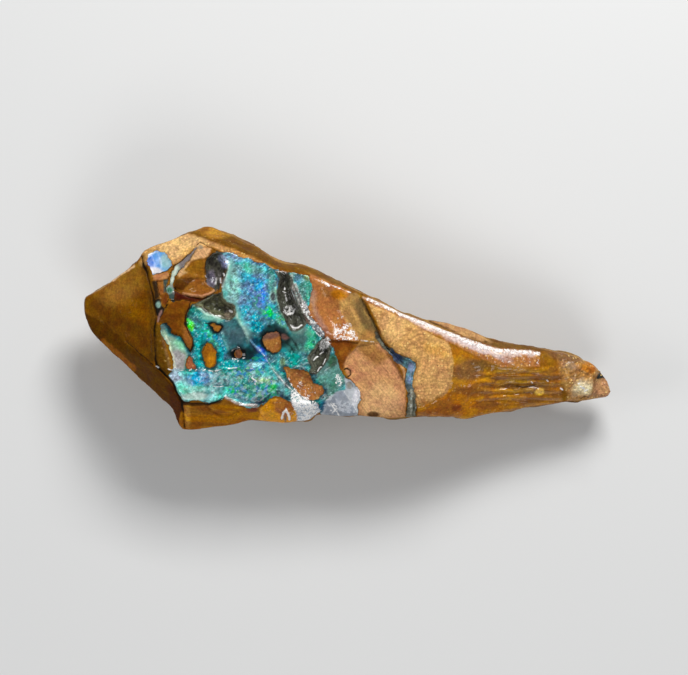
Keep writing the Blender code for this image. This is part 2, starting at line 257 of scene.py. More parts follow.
LONG_HOLLOW = Region((
    (-7.9, 6.3), (-7.3, 6.3), (-6.6, 5.9), (-6.25, 5.3), (-6.45, 4.3), (-6.2, 3.4), (-5.6, 2.5), (-5.1, 1.5),
    (-4.75, 0.6), (-5.1, 0.2), (-5.7, -0.1), (-6.3, -0.1), (-6.55, 0.4), (-6.9, 1.4), (-7.35, 2.3),
    (-7.6, 3.2), (-7.7, 4.2), (-7.6, 5.0), (-7.4, 5.6), (-7.7, 5.9),
))
EAST_HOLLOW = Region((
    (-2.7, -1.15), (-3.2, -1.9), (-3.9, -2.7), (-4.3, -3.4), (-4.1, -3.9), (-3.9, -4.4), (-4.05, -5.0),
    (-3.6, -5.1), (-3.2, -4.6), (-2.7, -3.9), (-2.2, -3.2), (-2.0, -2.5), (-2.2, -1.7),
))
ORANGE_OVAL = Spot((-15.47, -3.05), (1.38, 0.82), 100)
BLACK_RIMMED_BIT = Region((
    (-15.45, 0.42), (-14.9, 0.5), (-14.3, 0.3), (-14.1, 0.1), (-14.5, -0.35), (-14.95, -0.4), (-15.2, 0.1),
))
TERRACE_BIT = Region((
    (-18.05, -4.6), (-18.0, -3.8), (-17.75, -3.1), (-17.4, -3.3), (-17.2, -3.9), (-16.9, -4.2),
    (-16.8, -4.65),
))
MIDDLE_BIT = Region((
    (-9.55, -1.25), (-9.2, -0.7), (-8.7, -0.5), (-8.0, -0.35), (-7.55, -0.65), (-7.5, -1.5), (-7.55, -2.2),
    (-7.9, -2.75), (-8.4, -2.85), (-8.9, -2.55), (-9.35, -2.0),
))
SOUTH_BIT = Region((
    (-7.1, -4.4), (-6.2, -4.55), (-4.9, -4.7), (-4.2, -5.3), (-3.7, -6.1), (-2.75, -6.45), (-2.6, -7.2),
    (-3.1, -8.0), (-3.8, -8.2), (-4.6, -8.0), (-5.5, -7.4), (-6.1, -6.7), (-6.6, -6.0), (-6.9, -5.2),
))
KNOB = Spot((-12.2, -2.9), (0.5, 0.38), 100)
BLUE_PATCH = Region((
    (-22.6, 7.7), (-22.45, 8.2), (-22.1, 8.45), (-21.3, 8.75), (-20.5, 8.4), (-19.9, 7.5), (-19.75, 7.0),
    (-20.3, 6.5), (-21.0, 6.15), (-21.8, 6.0), (-22.2, 6.6),
))
EAST_SPLIT = Region((
    (3.0, -0.4), (3.35, -0.5), (3.9, -1.3), (4.7, -2.1), (5.5, -2.75), (6.3, -3.3), (6.9, -3.45), (7.7, -3.7),
    (7.75, -4.3), (7.5, -5.2), (7.4, -6.2), (7.55, -7.0), (7.75, -8.0), (7.7, -9.0), (7.75, -10.8),
    (6.4, -10.8), (6.65, -9.4), (6.75, -8.2), (6.9, -7.3), (6.6, -6.6), (6.5, -6.0), (6.6, -5.3),
    (6.75, -4.7), (6.2, -4.3), (5.6, -3.9), (5.0, -3.3), (4.3, -2.6), (3.6, -1.8), (3.1, -1.0),
))
NORTH_VEIN = Region((
    (-18.95, 6.6), (-18.4, 7.05), (-17.6, 7.9), (-17.2, 8.6), (-17.0, 9.2), (-17.45, 8.5), (-17.95, 8.05),
    (-18.7, 7.4), (-19.35, 7.0), (-19.6, 6.5), (-19.78, 5.8), (-19.95, 5.0), (-20.2, 4.5), (-20.25, 4.1),
    (-20.0, 3.9), (-19.95, 3.3), (-19.5, 3.1), (-19.35, 3.7), (-19.4, 4.3), (-19.55, 4.9), (-19.4, 5.7),
))
WEST_FACET = Region((
    (-33.0, 4.0), (-23.5, 11.0), (-23.0, 8.2), (-22.6, 7.2), (-22.1, 6.1), (-21.9, 5.0), (-21.6, 3.3),
    (-21.7, 1.5), (-21.6, -0.5), (-21.8, -2.0), (-21.6, -4.2), (-23.0, -3.1), (-24.7, -1.8), (-27.5, 0.6),
    (-31.0, 2.4),
))
SOUTH_WEST_FACET = Region((
    (-31.0, 2.4), (-27.5, 0.6), (-24.7, -1.8), (-23.0, -3.1), (-21.6, -4.2), (-20.9, -5.0), (-20.1, -5.9),
    (-19.7, -6.4), (-19.2, -7.3), (-18.6, -8.2), (-18.4, -9.0), (-18.35, -13.0), (-24.0, -13.0), (-34.0, 0.0),
))
SAND_TRIANGLE = Region((
    (-23.4, 8.2), (-22.6, 8.6), (-22.0, 8.8), (-21.2, 8.9), (-20.5, 8.1), (-19.6, 7.2), (-19.2, 7.1),
    (-18.3, 8.0), (-17.1, 9.1), (-16.6, 9.5), (-16.2, 9.2), (-15.0, 9.0), (-13.0, 8.3), (-11.0, 7.75),
    (-9.3, 7.25), (-8.4, 6.5), (-8.0, 6.6), (-9.3, 7.5), (-10.5, 8.0), (-12.0, 8.65), (-13.5, 9.2),
    (-15.2, 9.8), (-17.3, 10.35), (-20.0, 11.5), (-25.0, 9.6),
))
NORTH_STRIP = Region((
    (-18.5, 12.5), (-17.9, 10.6), (-15.2, 9.8), (-13.5, 9.2), (-12.0, 8.6), (-9.3, 7.4), (-7.2, 6.5),
    (-4.0, 6.2), (-2.0, 5.2), (0.5, 4.3), (2.0, 3.7), (4.0, 3.0), (4.0, 5.0), (-8.0, 10.5), (-15.0, 13.5),
))
TAWNY_BLOCK = Region((
    (-16.7, 9.3), (-15.2, 9.0), (-15.3, 8.2), (-15.7, 7.6), (-15.8, 6.5), (-15.8, 5.2), (-14.8, 4.2),
    (-15.9, 3.7), (-17.0, 3.65), (-18.0, 4.1), (-19.3, 4.4), (-19.5, 4.9), (-19.1, 6.1), (-18.2, 7.2),
    (-17.4, 8.2),
))
SCOOP = Region((
    (-18.2, 4.3), (-17.0, 3.8), (-15.9, 3.9), (-14.9, 4.4), (-15.7, 5.2), (-16.2, 5.6), (-17.2, 5.4),
))
GOLDEN_PLATE = Region(((-17.6, 7.6), (-16.2, 7.9), (-15.9, 7.0), (-15.9, 5.8), (-16.6, 5.7), (-18.4, 6.4)))
BROWN_PLATE = Region((
    (-19.4, 3.1), (-17.5, 3.0), (-17.7, 2.2), (-18.1, 1.3), (-18.2, 0.5), (-17.7, -0.6), (-17.3, -1.2),
    (-17.3, -2.0), (-17.6, -2.6), (-18.4, -1.5), (-18.8, -0.9), (-19.7, -0.5), (-20.3, 0.6), (-21.0, 0.8),
    (-20.8, 1.4), (-20.3, 2.1), (-19.9, 2.7),
))
SOUTH_BEVEL = Region((
    (-18.4, -8.3), (-17.5, -8.3), (-16.5, -8.35), (-15.5, -8.5), (-14.1, -8.1), (-13.7, -7.8), (-12.9, -8.3),
    (-12.0, -8.8), (-11.0, -9.0), (-10.0, -9.0), (-9.6, -9.4), (-9.5, -12.5), (-19.5, -12.5),
))
SOUTH_LUMP = Region((
    (-9.9, -9.0), (-9.3, -8.5), (-8.8, -8.1), (-8.0, -7.9), (-7.2, -8.1), (-6.5, -8.6), (-5.8, -9.2),
    (-5.2, -9.8), (-5.0, -12.0), (-10.2, -12.0),
))
SPARKLE_CORNER = Region((
    (-6.3, -6.9), (-5.1, -7.4), (-4.2, -7.9), (-3.3, -8.4), (-3.0, -9.4), (-4.1, -10.2), (-4.2, -12.0),
    (-5.5, -12.0), (-5.7, -9.6), (-6.4, -8.3),
))
ORANGE_BLOCK = Region((
    (-4.2, 6.1), (-2.0, 5.1), (0.3, 4.2), (0.2, 3.8), (-0.7, 2.8), (-0.2, 1.0), (0.9, -0.2), (1.4, -1.4),
    (-0.6, -1.45), (-2.6, -1.0), (-4.0, 0.3), (-4.9, 1.2), (-5.0, 2.4), (-4.2, 3.8),
))
BROWN_WEDGE = Region((
    (-2.4, -1.2), (1.5, -1.5), (0.9, -2.1), (0.5, -2.4), (0.0, -3.2), (-0.3, -4.0), (-0.5, -4.9),
    (-0.9, -4.2), (-1.1, -3.3), (-1.5, -2.5),
))
COLUMN = Region((
    (-0.7, 2.8), (-0.2, 1.0), (0.9, -0.2), (1.4, -1.4), (1.2, -1.9), (3.5, -1.6), (3.2, 0.0), (2.6, 1.0),
    (1.9, 2.3), (1.4, 3.6), (0.9, 3.95), (0.2, 3.8),
))
BRUSHED_FACET = Region((
    (1.2, -1.9), (3.5, -1.6), (4.5, -2.8), (5.5, -4.2), (6.2, -5.5), (6.5, -6.5), (6.6, -8.0), (6.5, -11.0),
    (1.3, -11.0), (1.2, -9.2), (1.6, -8.0), (1.2, -6.8), (0.5, -5.8), (-0.2, -4.8), (-0.3, -4.0), (0.1, -3.1),
    (0.7, -2.4),
))
# pale grey fan, partly a painted sheen
SMOKY_SHEEN_FAN = Region((
    (-2.3, -8.0), (-1.2, -7.2), (-0.2, -6.9), (-0.3, -5.6), (0.2, -5.2), (0.6, -5.9), (1.4, -7.0),
    (1.6, -8.0), (1.2, -8.8), (1.0, -11.0), (-3.4, -11.0), (-2.8, -9.0),
))
SAND_FACET = Region((
    (2.2, 3.0), (4.5, 1.9), (6.5, 1.0), (8.2, 0.0), (10.0, -1.0), (11.3, -1.5), (11.7, -2.3), (12.0, -3.5),
    (12.0, -5.0), (11.6, -6.3), (11.0, -7.4), (10.0, -8.2), (8.8, -8.6), (7.7, -8.8), (7.6, -7.2),
    (7.5, -6.5), (7.6, -5.5), (7.8, -4.5), (7.7, -3.8), (6.8, -3.5), (5.2, -2.4), (3.9, -0.8), (3.3, 0.7),
))
BRIGHT_STRIP = Region((
    (1.8, 3.5), (4.0, 2.8), (6.0, 1.9), (8.0, 1.0), (9.5, 0.4), (11.0, -0.3), (13.0, -1.1), (15.0, -1.8),
    (17.0, -2.35), (20.0, -2.6), (21.9, -2.7), (21.8, -4.3), (20.0, -4.4), (17.5, -4.4), (16.5, -4.0),
    (15.0, -3.4), (13.5, -2.6), (12.0, -1.8), (10.5, -1.1), (8.5, -0.1), (6.5, 1.0), (4.5, 1.9), (2.2, 2.9),
))
BACK_RIM = Region((
    (3.0, 3.4), (6.0, 2.05), (8.5, 0.95), (11.0, -0.1), (14.0, -1.35), (17.0, -2.2), (22.0, -2.6),
    (24.0, -2.4), (20.0, 0.0), (8.0, 4.0),
))
TIP = Region((
    (23.2, -2.0), (24.0, -4.0), (24.2, -6.0), (25.0, -7.4), (24.8, -9.5), (31.0, -9.5), (31.0, -3.5),
    (27.0, -2.0),
))
TIP_STEP = Region(((28.0, -5.9), (29.4, -5.7), (31.0, -5.9), (31.0, -8.2), (28.3, -8.4), (27.9, -7.4)))
DARK_SLIVER = Region((
    (28.3, -4.1), (28.7, -4.8), (28.4, -5.4), (28.2, -5.9), (29.4, -5.7), (30.6, -5.9), (30.2, -4.2),
))
GLOSSY_EAST = Region((
    (11.6, -1.9), (13.5, -2.7), (15.0, -3.5), (17.5, -4.5), (22.0, -4.4), (24.0, -4.2), (24.6, -8.9),
    (15.0, -11.0), (7.9, -11.0), (7.9, -8.9), (9.4, -8.5), (10.7, -7.8), (11.5, -6.8), (12.0, -5.4),
    (12.0, -3.5),
))
TERRACE = Region(((-20.4, -4.7), (-9.0, -4.8), (-7.4, -6.0), (-6.0, -8.6), (-9.0, -9.4), (-19.2, -9.0)))
SMOKY_WINDOW = Region((
    (-13.9, 0.9), (-13.2, 1.0), (-12.4, 1.0), (-11.9, 0.2), (-11.35, -0.7), (-11.1, -1.7), (-11.7, -2.4),
    (-12.4, -2.2), (-13.2, -2.4), (-13.7, -1.4), (-13.95, -0.2),
))
# wedge of white speckle: painted glints on a glossy scoop wall
SPECKLE_GLINT_WEDGE = Region(((-1.5, 0.5), (-1.55, -1.37), (1.3, -1.38), (0.9, -0.4), (0.2, 0.7), (-0.5, 0.5)))
CRYSTAL_LINE = (
    (-10.9, -1.3), (-10.6, -1.75), (-9.7, -2.5), (-9.1, -3.4), (-8.5, -4.4), (-7.7, -5.4), (-7.0, -6.2),
    (-6.3, -6.9), (-5.4, -7.8),
)
LOBE_RIM = (
    (-13.3, 7.2), (-13.5, 6.3), (-13.95, 5.1), (-14.2, 4.2), (-14.1, 3.3), (-13.6, 2.75), (-13.0, 2.6),
    (-12.65, 2.0), (-12.35, 1.2), (-11.85, 0.3), (-11.3, -0.6), (-10.9, -1.3),
)
GOLDEN_BLOB = Spot((21.8, -7.2), (0.5, 0.45), 20)
PINK_BROWN_STREAK = ((-6.5, 4.4), (-5.7, 2.7), (-4.7, 1.1), (-4.3, 0.4))
# chain of painted glints east of the long hollow
GLINT_CHAIN = ((-4.9, 2.6), (-4.45, 1.8), (-4.05, 1.0), (-3.5, 0.1), (-2.95, -0.6))
# line of a pinkish painted highlight along the ridge at the terrace's foot
PINK_RIDGE_HIGHLIGHT = ((-13.6, -7.8), (-12.5, -8.4), (-11.3, -8.65), (-10.2, -8.8))
BEVEL_ARC = ((-15.8, -8.9), (-15.0, -9.55), (-14.0, -9.95), (-13.0, -9.75), (-12.3, -9.35))

SMOKY = (NORTH_HOLLOW, MIDDLE_HOLLOW, LONG_HOLLOW, EAST_HOLLOW)
IRONSTONE_BITS = (ORANGE_OVAL, BLACK_RIMMED_BIT, TERRACE_BIT, MIDDLE_BIT, SOUTH_BIT, KNOB)
OPAL_PATCHES = (OPAL_FACE, BLUE_PATCH, EAST_SPLIT, NORTH_VEIN)


class Coat(Enum):
    """The stone's two grown minerals, each with colours of its own."""

    IRONSTONE = "ironstone"
    OPAL = "opal"


def linear(colour: str) -> Array:
    """A hex triplet's colour in linear light."""
    c = np.array([int(colour[i : i + 2], 16) / 255 for i in (0, 2, 4)])
    return np.where(c <= 0.04045, c / 12.92, ((c + 0.055) / 1.055) ** 2.4)


@dataclass(frozen=True)
class Tint:
    """A colour, laid on one mineral over one region, fading out over its edge.

    Attributes:
        name: what it is, in plain words.
        where: the region.
        colour: the colour as a hex triplet.
        edge: how wide the fade is, in mm.
        strength: how much it covers.
        spread: how far past its region it runs, in mm.
    """

    name: str
    where: Region | Spot | Band
    colour: str
    edge: float
    strength: float = 1.0
    spread: float = 0.0

    def share(self, plan: Array, uneven: Array) -> Array:
        """How much it covers at each position.

        Args:
            plan: (n, 2) plan positions in mm.
            uneven: (n,) numbers from -1 to 1 that break up its edge.

        Returns:
            (n,) shares from 0 to 1.
        """
        soft = uneven * min(self.edge, 0.9) * 0.5
        return ease((self.where.depth(plan) + self.spread + soft) / self.edge + 0.5) * self.strength


# painted glints: pale strokes across the terrace, their points and colour
TERRACE_STROKES = (
    (((-18.9, -5.0), (-18.2, -5.9)), "9ce0e4"), (((-17.3, -4.95), (-17.8, -5.9)), "8cd8e4"),
    (((-16.3, -5.0), (-16.6, -6.0)), "88c4e8"), (((-15.5, -5.0), (-15.0, -6.0)), "84d0d8"),
    (((-15.3, -7.0), (-14.5, -7.6)), "8ce4dc"), (((-14.2, -5.0), (-13.4, -5.7)), "7cd0c4"),
    (((-12.9, -4.9), (-12.2, -5.5)), "80dcc8"), (((-18.5, -6.9), (-17.6, -6.6)), "a4e8d8"),
    (((-16.5, -6.8), (-15.8, -7.2)), "98e0e0"), (((-10.4, -4.9), (-9.7, -4.4)), "7cd0dc"),
)
# painted golden highlights along the folds towards the tip
GOLDEN_FOLD_HIGHLIGHTS = (
    ((15.8, -5.0), (17.2, -4.9), (18.6, -5.1), (20.2, -4.75), (21.8, -5.0)),
    ((16.8, -6.1), (18.3, -5.85), (19.8, -6.2), (21.2, -6.0)),
    ((15.6, -7.1), (17.6, -7.0), (19.4, -7.15), (21.0, -6.95)),
)

IRONSTONE_TINTS = (
    # broken ironstone, west to east
    # west facet
    Tint("whole", WEST_FACET, "7a4c00", 0.5),
    # painted light: the facet is lighter at its middle and north, where the light falls
    Tint("light middle", Spot((-25.6, 4.4), (2.6, 1.4), 35), "9c6e2c", 2.0, 0.8),
    Tint("light north", Spot((-24.2, 5.6), (1.6, 1.0), 45), "8a5f18", 1.2, 0.7),
    Tint("dark west", Spot((-28.6, 2.0), (0.9, 1.1)), "684008", 0.8, 0.7),
    # painted shade: the facet is darker low down
    Tint("dark foot", Spot((-24.5, -0.6), (4.6, 1.8), -38), "603a04", 1.6, 0.75),
    # painted shade beside the west crack
    Tint("dark east edge", Band(((-22.9, 7.0), (-22.3, 4.9), (-21.8, 2.9), (-21.8, -3.4)), 0.35), "432c08",
        0.5, 0.7),
    # darkened by painted shade, as the facet faces away from the light
    Tint("south-west facet", SOUTH_WEST_FACET, "583400", 0.3),
    Tint("south-west facet, dark red foot", Spot((-19.3, -8.6), (0.7, 2.2), 12), "4c2004", 0.6, 0.8),
    Tint("rusty streak", Band(((-27.6, -1.5), (-26.0, -2.9), (-24.2, -4.5)), 0.3), "96590f", 0.4, 0.85),
    # painted highlight along the north-west edge
    Tint("pale north-west edge", Band(((-27.6, 4.75), (-26.0, 5.75), (-24.1, 6.95)), 0.12), "d8b080", 0.15),
    # sand triangle
    Tint("whole", SAND_TRIANGLE, "c49458", 0.3),
    # pale tan lightened by painted light, where the triangle faces the light
    Tint("pale west", Spot((-19.5, 9.1), (3.4, 1.1), 22), "e2b878", 0.8, 0.9),
    Tint("dark east", Spot((-11.5, 8.8), (3.6, 0.8), -20), "b07c3c", 0.6, 0.8),
    # north strip
    Tint("whole", NORTH_STRIP, "6c4608", 0.35),
    Tint("lit apex", Spot((-15.4, 11.0), (1.8, 0.7), -10), "b07c28", 0.6, 0.9),
    # painted shade in the strip's fold
    Tint("dark fold", Spot((-16.4, 10.9), (0.9, 0.25), 30), "6c4010", 0.3, 0.6),
    Tint("dark seam", Spot((-10.0, 8.2), (3.4, 0.3), -30), "5c3a0e", 0.3, 0.6),
    # tawny block
    Tint("whole", TAWNY_BLOCK, "8a581c", 0.15),
    Tint("light bevel", Region(((-16.9, 9.4), (-15.3, 8.9), (-15.6, 8.1), (-16.6, 7.6), (-18.0, 6.2),
        (-18.9, 5.7), (-19.2, 6.1), (-18.3, 7.2), (-17.5, 8.2))), "cca06c", 0.25),
    Tint("grey top", Spot((-16.5, 9.1), (0.35, 0.2), -20), "8e8068", 0.2, 0.9),
    Tint("golden plate", GOLDEN_PLATE, "8a5a14", 0.3),
    Tint("brown shelf", Region(((-19.4, 5.5), (-16.1, 5.65), (-15.9, 5.2), (-17.6, 5.0), (-18.4, 4.3),
        (-19.5, 4.4))), "543008", 0.25),
    Tint("scoop", SCOOP, "86521a", 0.25),
    Tint("scoop's pale rim", Band(((-18.4, 3.95), (-17.4, 3.72), (-16.2, 3.62), (-15.2, 3.95),
        (-14.75, 4.35)), 0.13), "cc9468", 0.15, 0.95),
    # painted shadow under the scoop's lip
    Tint("under the scoop", Region(((-19.4, 4.2), (-18.5, 3.85), (-17.4, 3.55), (-16.2, 3.4), (-15.4, 3.6),
        (-16.0, 3.1), (-17.0, 2.9), (-17.8, 3.05), (-19.4, 3.2))), "481c0a", 0.2),
    # brown plate
    Tint("whole", BROWN_PLATE, "6e3f08", 0.12),
    Tint("dark foot", Spot((-19.9, 1.0), (1.2, 0.6), 20), "5a3208", 0.6, 0.7),
    Tint("light spur", Spot((-18.0, -1.2), (0.45, 1.3), 10), "8c5424", 0.4, 0.8),
    Tint("brown selvedge", Region(((-21.6, 0.6), (-20.9, 0.2), (-20.6, -1.2), (-20.3, -3.0), (-20.0, -4.0),
        (-19.7, -4.9), (-20.2, -5.6), (-21.4, -4.4))), "604008", 0.15),
    Tint("selvedge, crumbly edge", Band(((-20.8, -0.6), (-20.4, -2.4), (-20.0, -3.8), (-19.9, -4.6)), 0.16),
        "80603c", 0.2, 0.6),
    Tint("pink block", Region(((-21.9, 6.0), (-21.0, 6.15), (-20.2, 6.3), (-19.95, 5.9), (-20.3, 5.5),
        (-21.0, 5.25), (-21.7, 5.4))), "b07848", 0.15),
    Tint("gap west of the bar", Region(((-21.95, 5.3), (-21.3, 5.3), (-21.2, 4.2), (-21.1, 3.4), (-21.6, 3.2),
        (-21.75, 4.6))), "2e1e0e", 0.15),
    Tint("brown bar", Region(((-21.3, 5.4), (-20.75, 5.4), (-20.6, 4.6), (-20.65, 3.8), (-21.1, 3.75),
        (-21.25, 4.4))), "8c5424", 0.12),
    Tint("green-grey gap", Region(((-20.7, 5.4), (-20.1, 5.4), (-20.25, 4.7), (-20.3, 4.2), (-20.6, 4.0))),
        "3a4640", 0.15),
    Tint("reddish block", Region(((-20.95, 3.75), (-20.3, 3.9), (-20.1, 3.2), (-20.3, 2.5), (-20.8, 2.7))),
        "6c3c10", 0.12),
    Tint("gap by the crack", Region(((-21.6, 3.2), (-21.0, 3.4), (-20.8, 2.6), (-20.4, 2.2), (-20.9, 1.2),
        (-21.5, 1.4))), "1e1a14", 0.12),
    Tint("grey-green chip", Spot((-21.15, 2.65), (0.26, 0.36), 10), "7f9e92", 0.15),
    Tint("lavender thread", Band(((-20.85, 1.95), (-21.1, 1.4), (-21.25, 0.8)), 0.12), "8a6a60", 0.12),
    # south bevel
    Tint("whole", SOUTH_BEVEL, "a2680e", 0.2),
    Tint("light stripe", Spot((-18.0, -10.0), (0.3, 1.6)), "c88e34", 0.3, 0.85),
    Tint("lit arc", Band(((-15.8, -8.6), (-14.9, -9.2), (-14.0, -9.55), (-13.0, -9.4), (-12.3, -9.0)), 0.12),
        "a87420", 0.2, 0.8),
    Tint("brown arc", Band(BEVEL_ARC, 0.1), "6a4008", 0.3, 0.85),
    # painted shadow along the top of the bevel
    Tint("dark top", Region(((-18.5, -8.3), (-15.4, -8.45), (-14.1, -7.8), (-13.6, -7.8), (-14.2, -8.4),
        (-15.6, -8.75), (-18.5, -8.7))), "3a2210", 0.2, 0.9),
    # painted pinkish highlight along the foot's ridge
    Tint("pink shore", Band(PINK_RIDGE_HIGHLIGHT, 0.15), "d0b4a4", 0.2, 0.8),
    Tint("red spot", Spot((-10.7, -9.15), (0.6, 0.35), -8), "7c3c24", 0.3, 0.9),
    # south lump
    Tint("whole", SOUTH_LUMP, "dc940c", 0.2),
    Tint("inside the arch", Spot((-6.95, -9.95), (0.14, 0.5)), "6c6058", 0.15, 0.9),
    Tint("terracotta flank", Spot((-7.2, -8.9), (1.3, 0.9), -30), "a5622c", 0.4, 0.9),
    Tint("sparkle corner", SPARKLE_CORNER, "b0bac4", 0.2),
    # orange block
    Tint("whole", ORANGE_BLOCK, "a86c38", 0.2),
    Tint("golden spot", Spot((-0.95, 3.7), (0.75, 0.6), -20), "bc7a06", 0.5, 0.95),
    Tint("grey border", Band(((-4.0, 4.0), (-3.9, 3.0), (-3.6, 2.0), (-3.2, 1.1), (-2.6, -0.1)), 0.32),
        "9c8884", 0.5, 0.4),
    Tint("dark foot", Spot((-2.4, -0.7), (0.8, 0.5), -40), "7c4c30", 0.4, 0.6),
    Tint("brown wedge", BROWN_WEDGE, "733f0f", 0.15),
    Tint("brown wedge, orange tip", Spot((-0.4, -2.6), (0.5, 0.7)), "93581a", 0.4, 0.8),
    # column
    Tint("whole", COLUMN, "a07a42", 0.2),
    # painted light on the column's west flank
    Tint("light flank", Spot((0.3, 1.2), (0.75, 2.3), 27), "c89858", 0.4, 0.95),
    Tint("olive middle", Spot((1.75, 1.3), (0.45, 2.4), 26), "6c5834", 0.5, 0.9),
    # painted shade on the column's east flank
    Tint("dark flank", Band(((1.6, 3.2), (2.2, 1.9), (2.9, 0.5), (3.4, -0.7), (3.9, -1.5)), 0.17), "4c432c",
        0.35, 0.9),
    Tint("golden foot", Spot((2.2, -1.0), (0.8, 0.7)), "b48444", 0.5, 0.9),
    # brushed facet
    Tint("whole", BRUSHED_FACET, "c08a5c", 0.15),
    Tint("warm head", Spot((2.6, -2.6), (2.0, 0.9), -35), "946630", 0.8, 0.85),
    Tint("pink west", Spot((0.5, -3.8), (0.7, 1.3), -15), "c48a5c", 0.5, 0.8),
    Tint("dark east edge", Band(((4.6, -3.0), (5.6, -4.4), (6.3, -5.8)), 0.16), "6e4418", 0.25, 0.8),
    Tint("light foot", Spot((3.8, -8.2), (2.3, 1.9)), "d2a470", 1.2, 0.8),
    Tint("conchoidal nick", Spot((3.0, -9.75), (0.6, 0.35)), "46260c", 0.2, 0.9),
    # sand facet
    Tint("whole", SAND_FACET, "c8985a", 0.15),
    Tint("pale west", Spot((5.2, 0.2), (1.4, 1.6), -30), "d8a86c", 0.8, 0.8),
    Tint("pink foot", Spot((9.6, -6.4), (2.4, 2.4)), "c6945c", 1.2, 0.9),
    Tint("golden east", Spot((10.0, -2.5), (1.6, 0.7), -20), "d29c4c", 0.6, 0.8),
    Tint("pale sliver", Band(((5.9, -4.1), (6.35, -4.9), (6.45, -5.8)), 0.12), "b88a5c", 0.1),
    # glossy east
    Tint("whole", GLOSSY_EAST, "a46c18", 0.2),
    Tint("brown head", Spot((13.6, -4.9), (1.8, 1.5), -12), "8c602e", 0.8, 0.9),
    Tint("olive top", Spot((16.2, -4.3), (2.4, 0.6), -8), "7c581f", 0.6, 0.8),
    Tint("dark flutes", Spot((20.0, -6.4), (3.4, 1.0), -4), "7c5422", 0.8, 0.7),
    Tint("orange foot", Spot((12.2, -8.6), (3.8, 1.2), 8), "b06c0c", 0.9, 0.9),
    Tint("orange middle", Spot((15.2, -6.6), (2.2, 0.8), -5), "b47412", 0.8, 0.8),
    Tint("red spots", Spot((12.4, -9.0), (0.9, 0.4)), "7c3a0c", 0.4, 0.7),
    # painted golden highlights on the folds
    *(Tint("golden fold", Band(points, 0.12), "c8922c", 0.3, 0.75) for points in GOLDEN_FOLD_HIGHLIGHTS),
    Tint("golden blob", GOLDEN_BLOB, "ffd050", 0.25),
    Tint("back rim", BACK_RIM, "6c4a20", 0.15),
    Tint("back rim, tan lens", Spot((12.4, 0.0), (3.9, 0.5), -22), "b48858", 0.25),
    # bright strip
    Tint("whole", BRIGHT_STRIP, "a8703a", 0.12),
    # whitish crust along the strip's crest, partly a painted highlight
    Tint("lavender crest", Region(((1.9, 3.5), (4.0, 2.8), (6.0, 1.9), (8.0, 1.0), (9.5, 0.4), (11.0, -0.3),
        (13.0, -1.1), (15.0, -1.8), (17.0, -2.35), (20.0, -2.6), (21.8, -2.7), (21.7, -3.2), (19.0, -3.1),
        (17.0, -3.1), (15.0, -2.7), (13.0, -2.0), (10.5, -0.85), (8.5, 0.15), (6.5, 1.2), (4.5, 2.2))),
        "e0c6b8", 0.4, 0.9),
    # partly a painted highlight along the strip's middle
    Tint("lavender middle", Spot((14.2, -2.05), (3.2, 0.3), -22), "ccb8b4", 0.35, 0.85),
    # tip
    Tint("whole", TIP, "b88444", 0.5),
    Tint("brown top", Spot((24.6, -3.2), (2.4, 0.5), -10), "74502c", 0.4, 0.9),
    Tint("grey-purple back", Spot((25.2, -4.3), (0.8, 0.4), -20), "a08468", 0.5, 0.7),
    Tint("orange shoulder", Spot((27.4, -4.5), (0.85, 0.55), -25), "b87020", 0.3, 0.95),
    Tint("pale crush", Spot((26.8, -6.8), (1.1, 0.8), 10), "fff0c0", 1.0, 0.95),
    Tint("pink step", TIP_STEP, "b8885c", 0.15),
    Tint("dark sliver", DARK_SLIVER, "161a16", 0.15),
    Tint("orange oval", ORANGE_OVAL, "90590a", 0.2),
    Tint("orange oval, light foot", Spot((-15.3, -3.6), (0.4, 0.6)), "c07c0c", 0.4, 0.8),
    Tint("black-rimmed bit", BLACK_RIMMED_BIT, "8f5a20", 0.15),
    Tint("terrace bit", TERRACE_BIT, "945434", 0.15),
    Tint("middle bit", MIDDLE_BIT, "9a6430", 0.2),
    Tint("middle bit, dark head", Spot((-8.6, -0.85), (1.2, 0.4), 12), "6a4c42", 0.35, 0.85),
    Tint("south bit", SOUTH_BIT, "a06836", 0.2),
    Tint("knob", KNOB, "6e4430", 0.2),
)

